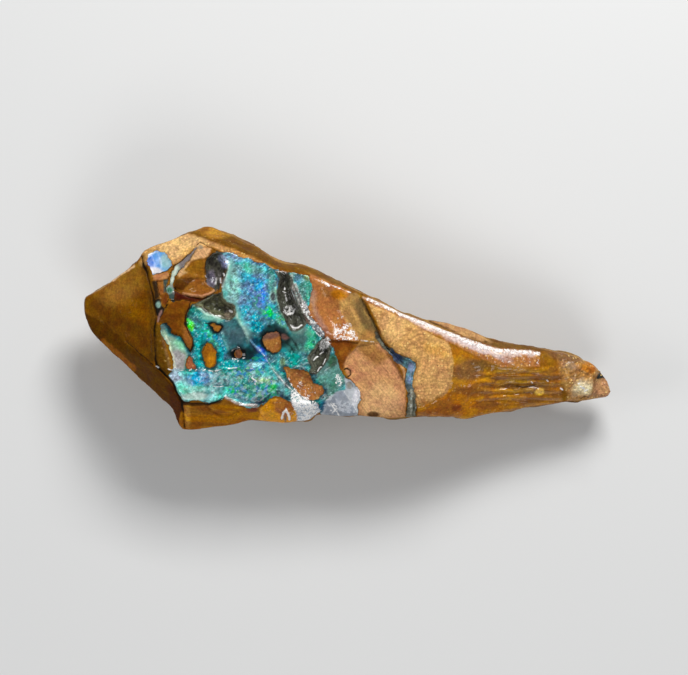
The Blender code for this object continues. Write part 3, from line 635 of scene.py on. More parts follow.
OPAL_TINTS = (
    # precious opal, broad hues first
    # west milk
    Tint("whole", Region(((-21.2, 0.6), (-19.9, -0.8), (-18.6, -1.8), (-18.0, -3.0), (-18.2, -4.6),
        (-20.4, -4.6))), "90ae94", 0.5),
    Tint("grey", Region(((-19.8, -2.5), (-18.9, -2.3), (-18.3, -3.0), (-18.3, -4.6), (-19.7, -4.6))),
        "a49c9c", 0.4, 0.9),
    Tint("slate head", Spot((-20.8, 0.1), (0.5, 0.4), 30), "50686c", 0.4, 0.8),
    Tint("pale west line", Band(((-20.3, -0.9), (-19.95, -2.0), (-19.6, -3.0), (-19.4, -4.3)), 0.09),
        "d4d8b8", 0.16, 0.85),
    Tint("green", Spot((-18.9, -1.9), (0.9, 0.5), -30), "84c8a4", 0.4, 0.8),
    Tint("green corner", Spot((-16.8, 1.7), (1.2, 1.0), 60), "3c948c", 0.8, 0.9),
    Tint("green corner, dark blot", Spot((-17.2, 1.5), (0.35, 0.5)), "1d5864", 0.4, 0.8),
    Tint("mint bank", Spot((-15.2, 1.1), (1.2, 0.4), -12), "7fb2a2", 0.4, 0.95),
    # pale mint, brightened by painted highlight
    Tint("mint bank's lip", Band(((-16.9, 2.6), (-16.4, 2.05), (-15.6, 1.55), (-14.6, 1.3), (-14.0, 1.1)),
        0.16), "c0e0d0", 0.2, 0.9),
    Tint("teal middle", Spot((-16.6, -1.0), (1.0, 2.0), 10), "2c8f94", 0.7, 0.9),
    Tint("sea-green stripe", Band(((-16.4, 0.3), (-15.6, -0.6), (-14.9, -1.4), (-14.4, -2.1)), 0.35),
        "3fae94", 0.4, 0.85),
    Tint("blue under the stripe", Band(((-14.7, -1.1), (-14.1, -2.0), (-13.7, -3.0)), 0.35), "2f86a4", 0.4,
        0.85),
    Tint("vivid green patch", Region(((-18.15, 1.1), (-17.5, 1.05), (-17.1, 0.3), (-17.45, -0.4),
        (-17.9, -0.2))), "3ee050", 0.1),
    # north lobe
    Tint("whole", Spot((-10.4, 4.6), (2.9, 3.2), -10), "5290b0", 1.2),
    Tint("blue core", Spot((-9.9, 3.9), (1.1, 1.9), 12), "4880b4", 1.0, 0.9),
    Tint("periwinkle", Spot((-9.4, 3.5), (0.5, 0.8), 20), "4878d4", 0.5, 0.8),
    Tint("mint shore", Spot((-12.9, 4.9), (0.9, 2.2), 5), "80bcb0", 0.8, 0.9),
    Tint("blue head", Spot((-12.6, 7.9), (1.2, 0.4), -15), "7a9cc0", 0.4, 0.8),
    Tint("green crown", Spot((-10.8, 6.7), (1.3, 0.5), -15), "58a894", 0.6, 0.8),
    # lobe
    Tint("green east", Spot((-8.5, 5.2), (0.45, 1.6)), "4f9484", 0.4, 0.8),
    Tint("green heart", Spot((-8.9, 1.8), (0.55, 0.6)), "2fbf74", 0.4, 0.95),
    Tint("green foot", Spot((-7.4, 0.9), (0.45, 0.8), 25), "44ac80", 0.4, 0.9),
    Tint("cyan", Spot((-11.2, 1.2), (0.9, 1.6), -20), "489cb8", 0.7, 0.9),
    Tint("deep foot", Spot((-9.9, 0.4), (0.9, 0.9)), "2a7696", 0.7, 0.8),
    Tint("pale east lip", Band(((-8.0, 5.3), (-8.05, 4.4), (-7.8, 3.1), (-7.4, 1.9), (-6.9, 1.0)), 0.12),
        "86ac94", 0.15, 0.85),
    Tint("grey eye's lip", Spot((-8.35, 3.6), (0.45, 0.75), 5), "7fa898", 0.2, 0.8),
    Tint("grey eye", Spot((-8.35, 3.6), (0.27, 0.5), 5), "46484c", 0.2, 0.9),
    # lobe rim
    Tint("inner glow", Band(LOBE_RIM, 0.5), "74b2a8", 0.6, 0.8),
    Tint("whole", Band(LOBE_RIM, 0.16), "98c4b4", 0.2, 0.85),
    # pale thread along the rim's crest, partly a painted highlight
    Tint("pale thread", Band(LOBE_RIM[:9], 0.06), "d0e0d4", 0.14, 0.9),
    Tint("basin", Spot((-5.4, -1.4), (1.9, 1.5)), "3a625c", 0.8, 0.9),
    Tint("halo of the middle bit", Region(((-9.9, -0.7), (-9.5, 0.0), (-8.8, 0.4), (-8.0, 0.4), (-7.2, 0.0),
        (-6.4, -0.5), (-6.1, -1.2), (-6.5, -1.8), (-7.2, -2.2), (-7.7, -2.0), (-8.6, -1.5), (-9.5, -1.3))),
        "0c1412", 0.5, 0.9),
    Tint("middle bit's brown flake", Region(((-7.6, -0.5), (-6.9, -0.65), (-6.4, -1.1), (-7.0, -1.35),
        (-7.5, -1.25))), "6a4e46", 0.25, 0.85),
    Tint("middle bit's first black thread", Band(((-7.6, -0.5), (-6.9, -0.7), (-6.3, -1.1), (-5.9, -1.7),
        (-5.5, -2.4)), 0.08), "0c1210", 0.15, 0.85),
    Tint("middle bit's second black thread", Band(((-7.5, -1.6), (-6.9, -1.65), (-6.3, -2.1), (-6.0, -2.7)),
        0.08), "0c1210", 0.15, 0.8),
    Tint("green east basin", Band(((-4.4, -0.2), (-3.9, -0.9), (-4.0, -1.8), (-4.5, -2.4)), 0.4), "48a486",
        0.5, 0.85),
    Tint("grey head of the basin", Spot((-5.6, -0.2), (1.0, 0.4), 5), "709086", 0.4, 0.85),
    Tint("teal south", Spot((-6.0, -3.7), (2.2, 0.8), -8), "2c9494", 0.7, 0.9),
    Tint("teal south, gold-green fleck", Spot((-7.3, -3.9), (0.3, 0.45)), "8cac64", 0.3, 0.7),
    Tint("deep blue", Spot((-10.1, -1.9), (1.5, 0.75), -48), "08203c", 0.6, 0.95),
    Tint("deep blue, south", Spot((-10.0, -3.5), (1.1, 0.6), -30), "2470a4", 0.6, 0.9),
    Tint("dark pool", Spot((-11.7, -2.95), (1.9, 0.95)), "061416", 0.7, 0.95),
    # smoky window
    Tint("whole", SMOKY_WINDOW, "3c646a", 0.2),
    Tint("teal foot", Spot((-12.3, -1.6), (0.9, 0.6), -20), "26525c", 0.6, 0.8),
    Tint("west lip", Band(((-13.95, 0.7), (-14.1, -0.2), (-13.8, -1.4), (-13.3, -2.4)), 0.1), "5c8488", 0.15,
        0.8),
    Tint("black ring of the knob", Spot((-12.2, -2.9), (0.85, 0.72)), "080d0c", 0.25, 0.95),
    Tint("blue bank", Spot((-13.3, -3.9), (2.4, 0.5)), "2a94a0", 0.5, 0.85),
    Tint("crystal line's glow", Band(((-9.9, -2.2), (-9.4, -2.9), (-9.1, -3.4)), 0.2), "3060d8", 0.4, 0.75),
    Tint("white-cyan streaks", Spot((-10.2, -4.1), (0.8, 0.22), 10), "b4e8f0", 0.3, 0.85),
    Tint("crystal line's shore", Band(CRYSTAL_LINE[4:], 0.35), "7c9c9c", 0.5, 0.7),
    Tint("crystal line, blue", Band(CRYSTAL_LINE[:5], 0.05), "86b8e0", 0.16, 0.9),
    Tint("crystal line, white", Band(CRYSTAL_LINE[4:], 0.04), "d8d4cc", 0.18, 0.9),
    # long hollow bank
    Tint("whole", Region(((-6.4, 6.2), (-6.1, 5.2), (-5.2, 3.5), (-4.8, 3.0), (-4.2, 3.4), (-4.0, 4.5),
        (-4.1, 5.4), (-4.3, 6.0), (-5.2, 6.2))), "4a9486", 0.35),
    Tint("blue", Spot((-5.6, 5.4), (0.5, 0.6)), "4c8ca6", 0.4, 0.8),
    Tint("gold-green", Spot((-4.4, 5.7), (0.4, 0.25), -10), "94ac58", 0.3, 0.8),
    Tint("pale", Band(((-6.2, 5.9), (-6.15, 5.1), (-5.9, 4.6)), 0.13), "a8b8b0", 0.2, 0.9),
    Tint("crushed band's ground", Band(GLINT_CHAIN, 0.4), "8a8488", 0.3, 0.9),
    Tint("grey streaks", Band(((-6.0, 4.6), (-5.5, 3.0), (-4.9, 1.7), (-4.2, 0.6)), 0.4), "5a564e", 0.3, 0.9),
    Tint("first pale streak", Band(((-6.2, 4.9), (-5.7, 3.5), (-5.0, 2.1), (-4.3, 1.0)), 0.08), "a8a29a",
        0.12, 0.9),
    Tint("second pale streak", Band(((-5.8, 4.9), (-5.3, 3.5), (-4.7, 2.3)), 0.07), "b4aea8", 0.12, 0.9),
    Tint("pink-brown streak", Band(PINK_BROWN_STREAK, 0.11), "8c6c5a", 0.12, 0.9),
    # south-east shallows
    Tint("whole", Region(((-3.6, -4.6), (-2.2, -3.2), (-1.0, -3.4), (-0.8, -4.4), (0.2, -5.6), (-1.0, -7.2),
        (-2.6, -8.4), (-2.4, -6.8), (-3.6, -5.8))), "5c8c84", 0.4),
    Tint("green", Spot((-1.7, -3.7), (0.5, 0.8), -20), "2e5438", 0.4, 0.9),
    Tint("dark", Spot((-1.6, -6.6), (0.5, 0.6)), "3c7460", 0.5, 0.8),
    # terrace
    Tint("whole", TERRACE, "60bab6", 0.4),
    Tint("cyan west", Spot((-18.4, -6.2), (1.0, 0.6)), "94f0e8", 0.6, 0.9),
    Tint("lavender corner", Spot((-19.3, -5.4), (0.8, 0.7), -20), "b4c2d8", 0.5, 0.95),
    Tint("sky", Spot((-16.6, -5.65), (1.6, 0.75)), "3a94c8", 0.6, 0.95),
    Tint("deeper sky", Spot((-17.2, -6.0), (0.6, 0.4), 40), "4a9ad0", 0.4, 0.8),
    Tint("mint", Spot((-17.6, -7.0), (1.8, 0.4)), "8ce8d0", 0.4, 0.9),
    Tint("white shore", Spot((-17.0, -7.65), (1.8, 0.42)), "bcd8cc", 0.4, 0.95),
    Tint("cyan shore", Spot((-15.1, -7.8), (0.8, 0.45), 15), "88e0e0", 0.4, 0.9),
    Tint("grey-teal", Spot((-14.2, -6.0), (1.2, 0.8)), "4c8088", 0.6, 0.85),
    Tint("green heart", Spot((-12.8, -7.0), (0.7, 0.5)), "28d474", 0.4, 0.9),
    Tint("brown bit", Spot((-12.1, -5.5), (0.35, 0.25)), "64584c", 0.3, 0.8),
    Tint("mottled east", Spot((-10.3, -6.8), (2.4, 1.5), -10), "34847c", 1.0, 0.8),
    Tint("yellow-green", Spot((-9.5, -5.8), (1.0, 0.26), -5), "c8f494", 0.3, 0.9),
    Tint("green east", Spot((-8.6, -6.8), (0.5, 0.4), 20), "1ec85c", 0.4, 0.9),
    # painted shadow above the ridge at the terrace's foot
    Tint("dark foot", Spot((-9.4, -8.3), (2.2, 0.4), -5), "18283c", 0.5, 0.75),
    Tint("dark south-east", Spot((-7.0, -7.9), (1.1, 0.4), -35), "18283c", 0.4, 0.8),
    Tint("navy shore", Band(((-11.0, -8.7), (-10.0, -8.55), (-9.4, -8.2), (-8.8, -7.7), (-8.0, -7.5),
        (-7.2, -7.7), (-6.4, -8.1), (-5.7, -8.4)), 0.2), "142038", 0.4, 0.85),
    # painted pinkish highlight along the foot's ridge
    Tint("foot's pink shore", Band(PINK_RIDGE_HIGHLIGHT, 0.15), "d0b4a4", 0.2, 0.8),
    Tint("grey-blue", Spot((-11.9, -8.0), (1.1, 0.4), -20), "5c8494", 0.4, 0.8),
    # painted glints in pale strokes
    *(Tint("light stroke", Band(points, 0.09), colour, 0.16, 0.85)
      for points, colour in TERRACE_STROKES),
    # smoky fan, its pale grey partly a painted sheen
    Tint("whole", SMOKY_SHEEN_FAN, "b4b8bc", 0.25),
    Tint("dark triangle", Region(((-2.2, -8.2), (-1.2, -7.2), (-0.5, -7.0), (1.0, -9.6), (0.4, -10.8),
        (-3.0, -10.8))), "8c929c", 0.3, 0.9),
    Tint("bright edge", Spot((1.1, -7.4), (0.4, 1.1), -20), "d8d6dc", 0.3, 0.85),
    Tint("grey eye", Spot((0.25, -6.4), (0.33, 0.38)), "84806f", 0.2, 0.85),
    Tint("blue sliver", Spot((-2.9, -8.9), (0.45, 0.8), -35), "284c6c", 0.3, 0.9),
    # smoky potch in the hollows
    Tint("east hollow's lip", Band(((-2.7, -1.05), (-3.3, -1.9), (-3.9, -2.8), (-4.2, -3.4)), 0.09), "a09c94",
        0.15, 0.85),
    # north hollow
    Tint("whole", NORTH_HOLLOW, "3c3a30", 0.15, 1.0, 0.22),
    Tint("grey-purple west", Spot((-15.3, 5.6), (0.5, 1.0)), "686070", 0.5, 0.8),
    Tint("lavender corner", Spot((-13.9, 7.6), (0.5, 0.7), 20), "8490b0", 0.5, 0.9),
    Tint("pale east", Spot((-14.2, 5.4), (0.35, 0.9), 10), "6a6460", 0.4, 0.7),
    Tint("middle hollow", MIDDLE_HOLLOW, "54523e", 0.15, 1.0, 0.22),
    Tint("middle hollow, glassy knob", Spot((-13.3, 1.6), (0.5, 0.5)), "665a4c", 0.25, 0.9),
    Tint("long hollow", LONG_HOLLOW, "44443a", 0.15, 1.0, 0.22),
    Tint("east hollow", EAST_HOLLOW, "4a4a3e", 0.15, 1.0, 0.22),
    # opal of the separate patches
    # blue patch
    Tint("whole", BLUE_PATCH, "7098c8", 0.1, 1.0, 0.3),
    Tint("periwinkle", Spot((-22.2, 7.3), (0.5, 0.9), 8), "4c76cc", 0.45, 0.95),
    Tint("sky middle", Spot((-21.35, 7.7), (0.4, 0.9), -15), "7aa6e4", 0.4, 0.8),
    Tint("cyan east", Spot((-20.4, 7.5), (0.6, 0.9), 20), "88b2b4", 0.5, 0.9),
    Tint("white foot", Spot((-21.5, 6.4), (0.85, 0.4), -18), "e2dcdc", 0.35, 0.95),
    Tint("white head", Band(((-22.5, 8.0), (-22.1, 8.4), (-21.3, 8.65)), 0.12), "ccd8f0", 0.2, 0.8),
    Tint("first streak", Band(((-22.1, 8.2), (-21.75, 7.4), (-21.7, 6.8)), 0.05), "b8ccf8", 0.14, 0.7),
    Tint("second streak", Band(((-21.4, 8.5), (-21.0, 7.6), (-20.9, 6.8)), 0.06), "b8d4ec", 0.16, 0.7),
    # north vein
    Tint("whole", NORTH_VEIN, "78706e", 0.1, 1.0, 0.3),
    Tint("mint foot", Spot((-19.5, 5.9), (0.6, 1.3), -15), "a0b4a0", 0.4, 0.95),
    Tint("pale thread", Band(((-19.2, 6.8), (-19.45, 6.1), (-19.65, 5.2)), 0.1), "ccd4c4", 0.2, 0.9),
    Tint("dark foot", Spot((-19.75, 3.5), (0.35, 0.45)), "2c4440", 0.25, 0.9),
    Tint("blob's ring", Spot((-19.95, 4.3), (0.42, 0.42)), "88a898", 0.15, 0.9),
    Tint("green blob", Spot((-19.95, 4.3), (0.3, 0.3)), "2e6a54", 0.15, 0.9),
    # east split
    Tint("whole", EAST_SPLIT, "4a5252", 0.2, 1.0, 0.3),
    Tint("olive head", Spot((3.8, -1.5), (1.6, 0.6), -50), "5a5444", 0.4),
    Tint("light head thread", Band(((3.6, -1.3), (4.4, -2.3), (5.2, -3.1)), 0.1), "8c8c78", 0.2, 0.85),
    Tint("navy neck", Spot((5.6, -3.2), (0.9, 0.45), -38), "34466c", 0.4, 0.9),
    Tint("blue heart", Spot((7.1, -4.8), (0.75, 1.9), 4), "587884", 0.4),
    Tint("light cells", Spot((7.2, -4.4), (0.3, 0.5), 10), "8c9cc4", 0.25, 0.9),
    Tint("lower cells", Spot((7.05, -5.8), (0.28, 0.5)), "8898c0", 0.25, 0.9),
    Tint("grey foot", Spot((7.15, -8.9), (0.9, 2.0)), "6c6a58", 0.5),
    Tint("dark thread", Band(((6.95, -7.3), (7.45, -8.2), (7.35, -9.8)), 0.09), "2c3028", 0.15, 0.9),
    Tint("pale thread", Band(((7.2, -6.9), (7.25, -8.2), (7.15, -9.6)), 0.1), "a4a494", 0.2, 0.8),
)

# each mineral's colour where no tint lies, and its tints
COATS = {Coat.IRONSTONE: ("85560f", IRONSTONE_TINTS), Coat.OPAL: ("37888f", OPAL_TINTS)}
# dark rings in the opal round what sits in it: the region, the ring's breadth in mm, and how dark
RINGS = (
    (ORANGE_OVAL, 0.4, 0.75), (BLACK_RIMMED_BIT, 0.45, 0.97), (TERRACE_BIT, 0.25, 0.6),
    (MIDDLE_BIT, 0.34, 0.96), (KNOB, 0.6, 0.95), (BROWN_PLATE, 0.4, 0.85), (SOUTH_BIT, 0.45, 0.6),
)


@dataclass(frozen=True)
class Groove:
    """A crack along a line, or a ridge where its depth is below nought. Sizes in mm.

    Attributes:
        name: what it is.
        points: where it runs.
        width: half its breadth in the relief.
        depth: how deep it is.
        dark: how dark its line is; on some grooves that dark line is painted shade.
        stain: half the breadth of its dark line.
    """

    name: str
    points: Plan
    width: float
    depth: float
    dark: float = 0.9
    stain: float = 0.09

    def away(self, xy: Array, reach: float = 1.5) -> Array:
        """How far from its line each position is, in mm."""
        return distance_to_line(xy, self.points, False, reach)


@dataclass(frozen=True)
class Basin:
    """A sunk region, or a raised one where its depth is below nought. Sizes in mm."""

    where: Region | Spot
    depth: float
    edge: float


GROOVES = (
    Groove("west crack", ((-23.1, 8.0), (-22.93, 7.1), (-22.5, 6.0), (-22.17, 4.96), (-21.9, 4.0),
        (-21.67, 2.94), (-21.54, 1.17), (-21.67, -0.72), (-21.6, -2.6), (-21.4, -4.0), (-21.2, -4.5),
        (-20.7, -5.0), (-19.9, -5.8), (-19.4, -6.6), (-19.1, -7.3), (-18.6, -8.3), (-18.5, -9.8),
        (-18.4, -11.2)), 0.15, 0.35, 0.9, 0.18),
    Groove("south-west crack", ((-25.0, -1.4), (-24.3, -2.0), (-22.9, -3.2), (-21.8, -4.1)), 0.1, 0.08, 0.7),
    Groove("pink block's foot", ((-21.9, 5.35), (-21.0, 5.2), (-20.3, 5.4), (-19.9, 5.8)), 0.12, 0.2, 0.7,
        0.07),
    Groove("pink block's head", ((-21.8, 6.0), (-21.0, 6.2), (-20.3, 6.45), (-19.8, 6.9)), 0.1, 0.12, 0.8,
        0.06),
    Groove("bar's west side", ((-21.35, 5.3), (-21.25, 4.4), (-21.1, 3.7), (-20.9, 3.5)), 0.1, 0.15, 0.8,
        0.06),
    Groove("reddish block's sides", ((-20.3, 3.9), (-20.1, 3.2), (-20.35, 2.4), (-20.8, 2.2)), 0.1, 0.15, 0.8,
        0.07),
    Groove("north vein's west wall", ((-16.95, 9.45), (-17.5, 8.7), (-18.1, 8.0), (-18.9, 7.3), (-19.5, 7.0),
        (-20.0, 5.9), (-20.25, 4.7), (-20.0, 3.9)), 0.1, 0.16, 0.85, 0.06),
    Groove("north vein's east wall", ((-17.1, 8.7), (-17.6, 7.8), (-18.4, 6.95), (-19.0, 6.5), (-19.35, 5.5),
        (-19.5, 4.8), (-19.3, 4.3)), 0.1, 0.16, 0.8, 0.06),
    Groove("tawny block's head", ((-16.95, 9.4), (-16.6, 9.65), (-16.1, 9.45), (-15.5, 9.0), (-15.0, 8.75),
        (-14.6, 8.65)), 0.1, 0.15, 0.9, 0.07),
    Groove("tawny block's foot", ((-19.4, 4.35), (-18.6, 4.0), (-17.6, 3.45), (-16.3, 3.3), (-15.3, 3.6),
        (-14.8, 4.1)), 0.16, 0.25, 0.8, 0.09),
    Groove("tawny block's seam", ((-19.3, 5.6), (-18.0, 5.45), (-16.4, 5.6), (-15.9, 5.5)), 0.1, 0.12, 0.5,
        0.06),
    Groove("tawny block's east wall", ((-15.0, 8.6), (-15.5, 8.1), (-15.85, 7.4), (-15.95, 6.0),
        (-15.9, 5.3)), 0.12, 0.2, 0.8, 0.07),
    Groove("brown plate's top", ((-19.9, 3.1), (-18.5, 3.15), (-17.5, 3.0)), 0.13, 0.2, 0.85, 0.07),
    Groove("brown plate's west wall", ((-20.1, 2.7), (-20.5, 2.0), (-20.9, 1.3), (-21.1, 0.7)), 0.12, 0.2,
        0.9),
    Groove("brown plate's east wall", ((-17.6, 2.9), (-17.75, 2.2), (-18.15, 1.3), (-18.2, 0.5),
        (-17.75, -0.6), (-17.35, -1.2), (-17.35, -2.0), (-17.6, -2.6)), 0.1, 0.12, 0.95, 0.12),
    Groove("brown plate's foot", ((-20.6, 0.5), (-19.7, -0.5), (-18.8, -0.9), (-18.4, -1.5), (-17.7, -2.6)),
        0.1, 0.12, 0.85, 0.07),
    Groove("spur's thread", ((-17.6, -2.6), (-17.4, -3.0), (-17.2, -3.7), (-16.8, -4.2)), 0.07, 0.06, 0.7,
        0.06),
    Groove("terrace's foot crack", ((-18.6, -8.3), (-17.5, -8.4), (-16.5, -8.45), (-15.5, -8.5),
        (-14.6, -8.25), (-14.0, -7.85)), 0.14, 0.2, 0.85, 0.1),
    Groove("terrace crack", ((-15.4, -6.45), (-14.4, -6.5), (-13.4, -6.5)), 0.07, 0.08, 0.8, 0.06),
    Groove("lobe's shadow", ((-13.75, 7.0), (-13.8, 6.2), (-14.3, 5.1), (-14.5, 4.3), (-14.35, 3.2),
        (-13.8, 2.5), (-13.1, 2.3), (-12.9, 1.9)), 0.1, 0.06, 0.6, 0.1),
    Groove("oval's rim", ((-15.9, -1.9), (-16.25, -2.7), (-16.3, -3.5), (-15.95, -4.2)), 0.07, 0.05, 0.85,
        0.08),
    Groove("oval's east rim", ((-15.2, -1.7), (-14.8, -2.4), (-14.6, -3.3), (-14.9, -4.1)), 0.07, 0.05, 0.6,
        0.06),
    Groove("rim of the small bit", ((-15.9, 0.5), (-15.5, 0.5), (-14.9, 0.6), (-14.3, 0.4), (-14.0, 0.1),
        (-14.4, -0.45), (-14.9, -0.5)), 0.06, 0.05, 0.95, 0.1),
    Groove("terrace bit's rim", ((-18.1, -3.9), (-17.8, -3.0), (-17.35, -3.2), (-17.1, -3.9)), 0.06, 0.05,
        0.7, 0.06),
    Groove("east step", ((-6.4, 4.4), (-6.0, 3.3), (-5.4, 2.1), (-4.9, 1.1), (-4.2, 0.3), (-3.3, -0.5),
        (-2.85, -0.95)), 0.1, 0.18, 0.9, 0.08),
    Groove("east step's foot", ((-2.85, -0.95), (-2.5, -1.25), (-1.7, -2.1), (-1.1, -3.0), (-0.9, -4.2),
        (-0.5, -5.0)), 0.09, 0.14, 0.8, 0.07),
    Groove("first streak", ((-5.9, 4.3), (-5.3, 3.0), (-4.5, 1.8), (-3.6, 0.6)), 0.08, 0.12, 0.5, 0.06),
    Groove("east hollow's lip", ((-2.8, -1.0), (-3.3, -1.9), (-4.1, -2.8), (-4.4, -3.6)), 0.07, 0.05, 0.5,
        0.05),
    # its dark line is painted shadow beside the column
    Groove("column's east wall", ((1.5, 3.5), (1.9, 2.6), (2.35, 1.6), (2.9, 0.6), (3.35, -0.3), (3.7, -1.1),
        (4.5, -2.2), (5.4, -3.0), (6.2, -3.9), (6.7, -4.5)), 0.12, 0.22, 0.6, 0.06),
    Groove("column's west edge", ((1.2, 3.8), (0.6, 3.95), (0.1, 3.7), (-0.5, 3.0), (-0.62, 2.4),
        (-0.3, 1.2)), 0.1, 0.1, 0.45, 0.05),
    Groove("split's east wall", ((6.5, -3.3), (7.7, -3.65), (7.8, -4.4), (7.55, -5.4), (7.45, -6.3),
        (7.6, -7.1), (7.8, -8.2), (7.75, -10.2)), 0.09, 0.15, 0.6, 0.05),
    Groove("split's west wall", ((6.7, -4.6), (6.6, -5.4), (6.45, -6.0), (6.7, -6.7), (6.95, -7.2),
        (6.8, -8.4), (6.6, -9.6), (6.5, -10.2)), 0.09, 0.15, 0.8, 0.06),
    Groove("split's twist", ((6.6, -6.0), (7.0, -6.7), (7.4, -7.2)), 0.06, 0.04, 0.8, 0.05),
    # its dark line is painted shadow at the foot of the strip's ledge
    Groove("strip's upper groove", ((8.5, 1.05), (9.5, 0.65), (11.0, 0.05), (13.0, -0.75), (14.5, -1.3),
        (16.5, -1.8)), 0.14, 0.3, 0.6, 0.12),
    Groove("strip's west groove", ((1.6, 3.75), (4.0, 3.0), (6.0, 2.15), (8.5, 1.05)), 0.1, 0.2, 0.5, 0.07),
    Groove("strip's east end", ((21.95, -2.6), (21.9, -4.3)), 0.1, 0.15, 0.5, 0.06),
    Groove("facet's curved edge", ((11.3, -1.6), (11.8, -2.2), (12.0, -3.5), (12.0, -5.2), (11.5, -6.8),
        (10.7, -7.8), (9.6, -8.4), (8.4, -8.7), (7.8, -8.9)), 0.12, 0.06, 0.12, 0.06),
    Groove("brushed facet's edge", ((1.2, -1.9), (0.5, -2.4), (0.0, -3.1), (-0.4, -4.0), (-0.35, -4.8)), 0.1,
        0.1, 0.2, 0.05),
    Groove("loop in the fan", ((-0.35, -4.62), (-0.13, -4.52), (0.1, -4.57), (0.28, -4.75), (0.38, -4.98),
        (0.4, -5.2), (0.3, -5.38), (0.12, -5.45)), 0.07, 0.1, 0.95, 0.12),
    Groove("lower loop in the fan", ((-0.1, -6.2), (0.25, -6.0), (0.6, -6.25), (0.55, -6.7), (0.15, -6.85),
        (-0.15, -6.6), (-0.1, -6.2)), 0.06, 0.06, 0.55, 0.06),
    Groove("south bevel's arc", BEVEL_ARC, 0.16, 0.14, 0.0),
    Groove("south bevel's outer arc", ((-15.9, -9.5), (-14.9, -10.2), (-13.7, -10.4)), 0.12, 0.08, 0.35,
        0.07),
    Groove("bevel's crease", ((-12.2, -9.4), (-12.8, -10.2), (-13.3, -10.9)), 0.14, 0.12, 0.5, 0.07),
    Groove("lump's west seam", ((-9.9, -8.8), (-9.9, -9.5), (-9.4, -10.2)), 0.1, 0.12, 0.5, 0.07),
    # the flutes' dark lines are painted shade in their troughs
    Groove("first flute", ((15.6, -5.5), (17.3, -5.15), (19.0, -5.3), (20.6, -5.1), (21.6, -5.35)), 0.22, 0.1,
        0.5, 0.14),
    Groove("second flute", ((15.3, -6.2), (16.8, -6.6), (18.5, -6.35), (20.0, -6.75), (21.2, -6.5)), 0.22,
        0.1, 0.55, 0.16),
    Groove("third flute", ((16.6, -7.3), (18.4, -7.5), (20.6, -7.2)), 0.2, 0.08, 0.45, 0.13),
    Groove("tip's crack", ((24.1, -3.6), (24.4, -4.6), (25.3, -5.2), (25.6, -6.2), (26.4, -7.6)), 0.16, 0.1,
        0.4, 0.1),
    Groove("tip's cross crack", ((25.3, -5.2), (26.4, -4.9), (27.4, -5.4)), 0.14, 0.1, 0.35, 0.09),
    Groove("tip's notch", ((28.0, -5.6), (28.0, -6.3), (27.9, -7.3), (27.3, -7.9)), 0.13, 0.25, 0.6),
    Groove("tip's under notch", ((26.6, -8.0), (27.1, -7.75), (27.5, -7.9)), 0.15, 0.2, 0.7, 0.08),
    # ridges
    Groove("crystal line", CRYSTAL_LINE, 0.11, -0.07, 0.0),
    Groove("lobe rim", LOBE_RIM, 0.32, -0.08, 0.0),
    Groove("terrace edge", ((-20.0, -4.65), (-18.0, -4.65), (-15.5, -4.75), (-13.0, -4.5), (-10.6, -4.6)),
        0.16, -0.12, 0.0),
    Groove("terrace foot", ((-13.9, -7.6), (-13.2, -8.1), (-12.2, -8.6), (-11.3, -8.6), (-10.0, -8.7)), 0.18,
        -0.18, 0.0),
    Groove("scoop's lip", ((-18.4, 3.95), (-17.4, 3.75), (-16.2, 3.65), (-15.2, 3.95), (-14.75, 4.4)), 0.16,
        -0.22, 0.0),
    Groove("strip's crest", ((1.9, 3.4), (4.0, 2.7), (6.0, 1.8), (8.0, 0.9), (9.5, 0.3), (11.0, -0.4),
        (13.0, -1.2), (15.0, -1.9), (17.0, -2.45), (20.0, -2.65), (21.8, -2.75)), 0.2, -0.12, 0.0),
    Groove("hollow's bar", ((-7.3, 4.3), (-6.9, 2.8), (-6.2, 1.3)), 0.14, -0.3, 0.0),
    Groove("east hollow's bar", ((-2.5, -1.8), (-2.9, -2.9), (-3.7, -3.6)), 0.14, -0.3, 0.0),
    Groove("pink-brown streak", PINK_BROWN_STREAK, 0.12, -0.14, 0.0),
    Groove("lump's arch", ((-7.4, -10.3), (-7.2, -9.4), (-6.85, -9.2), (-6.6, -9.6), (-6.5, -10.4)), 0.12,
        -0.18, 0.0),
)

BASINS = (
    Basin(NORTH_HOLLOW, 0.75, 0.45), Basin(MIDDLE_HOLLOW, 0.6, 0.4), Basin(LONG_HOLLOW, 0.7, 0.4),
    Basin(EAST_HOLLOW, 0.7, 0.4), Basin(EAST_SPLIT, 0.25, 0.3), Basin(BLUE_PATCH, 0.1, 0.2),
    Basin(OPAL_FACE, 0.16, 0.35), Basin(SMOKY_WINDOW, 0.12, 0.25), Basin(BROWN_WEDGE, 0.3, 0.2),
    Basin(BRUSHED_FACET, 0.22, 0.18), Basin(SCOOP, 0.3, 0.7), Basin(GOLDEN_PLATE, 0.12, 0.3),
    Basin(TAWNY_BLOCK, -0.1, 0.25), Basin(BROWN_PLATE, -0.1, 0.25), Basin(SAND_FACET, -0.06, 0.3),
    Basin(COLUMN, -0.25, 0.9), Basin(SOUTH_LUMP, -0.3, 1.0), Basin(ORANGE_OVAL, -0.14, 0.5),
    Basin(MIDDLE_BIT, -0.1, 0.3), Basin(SOUTH_BIT, 0.1, 0.3), Basin(TERRACE_BIT, -0.08, 0.25),
    Basin(KNOB, -0.3, 0.3), Basin(TIP_STEP, 0.15, 0.2), Basin(DARK_SLIVER, 0.3, 0.3),
    Basin(GOLDEN_BLOB, -0.08, 0.2),
)


class Quality(Enum):
    """What the surface has more of in some places; each is stored for the finish to read."""

    GRIT = "grit"
    BRUSHED = "brushed"
    DRAWN = "drawn"
    FLOWING = "flowing"
    POLISH = "polish"
    VIVID = "vivid"
    # white speckle, mostly painted glints
    SPECKLE_AND_GLINT = "crush"
    CALM = "calm"


STONE_QUALITIES = (Quality.GRIT, Quality.BRUSHED, Quality.DRAWN, Quality.FLOWING)

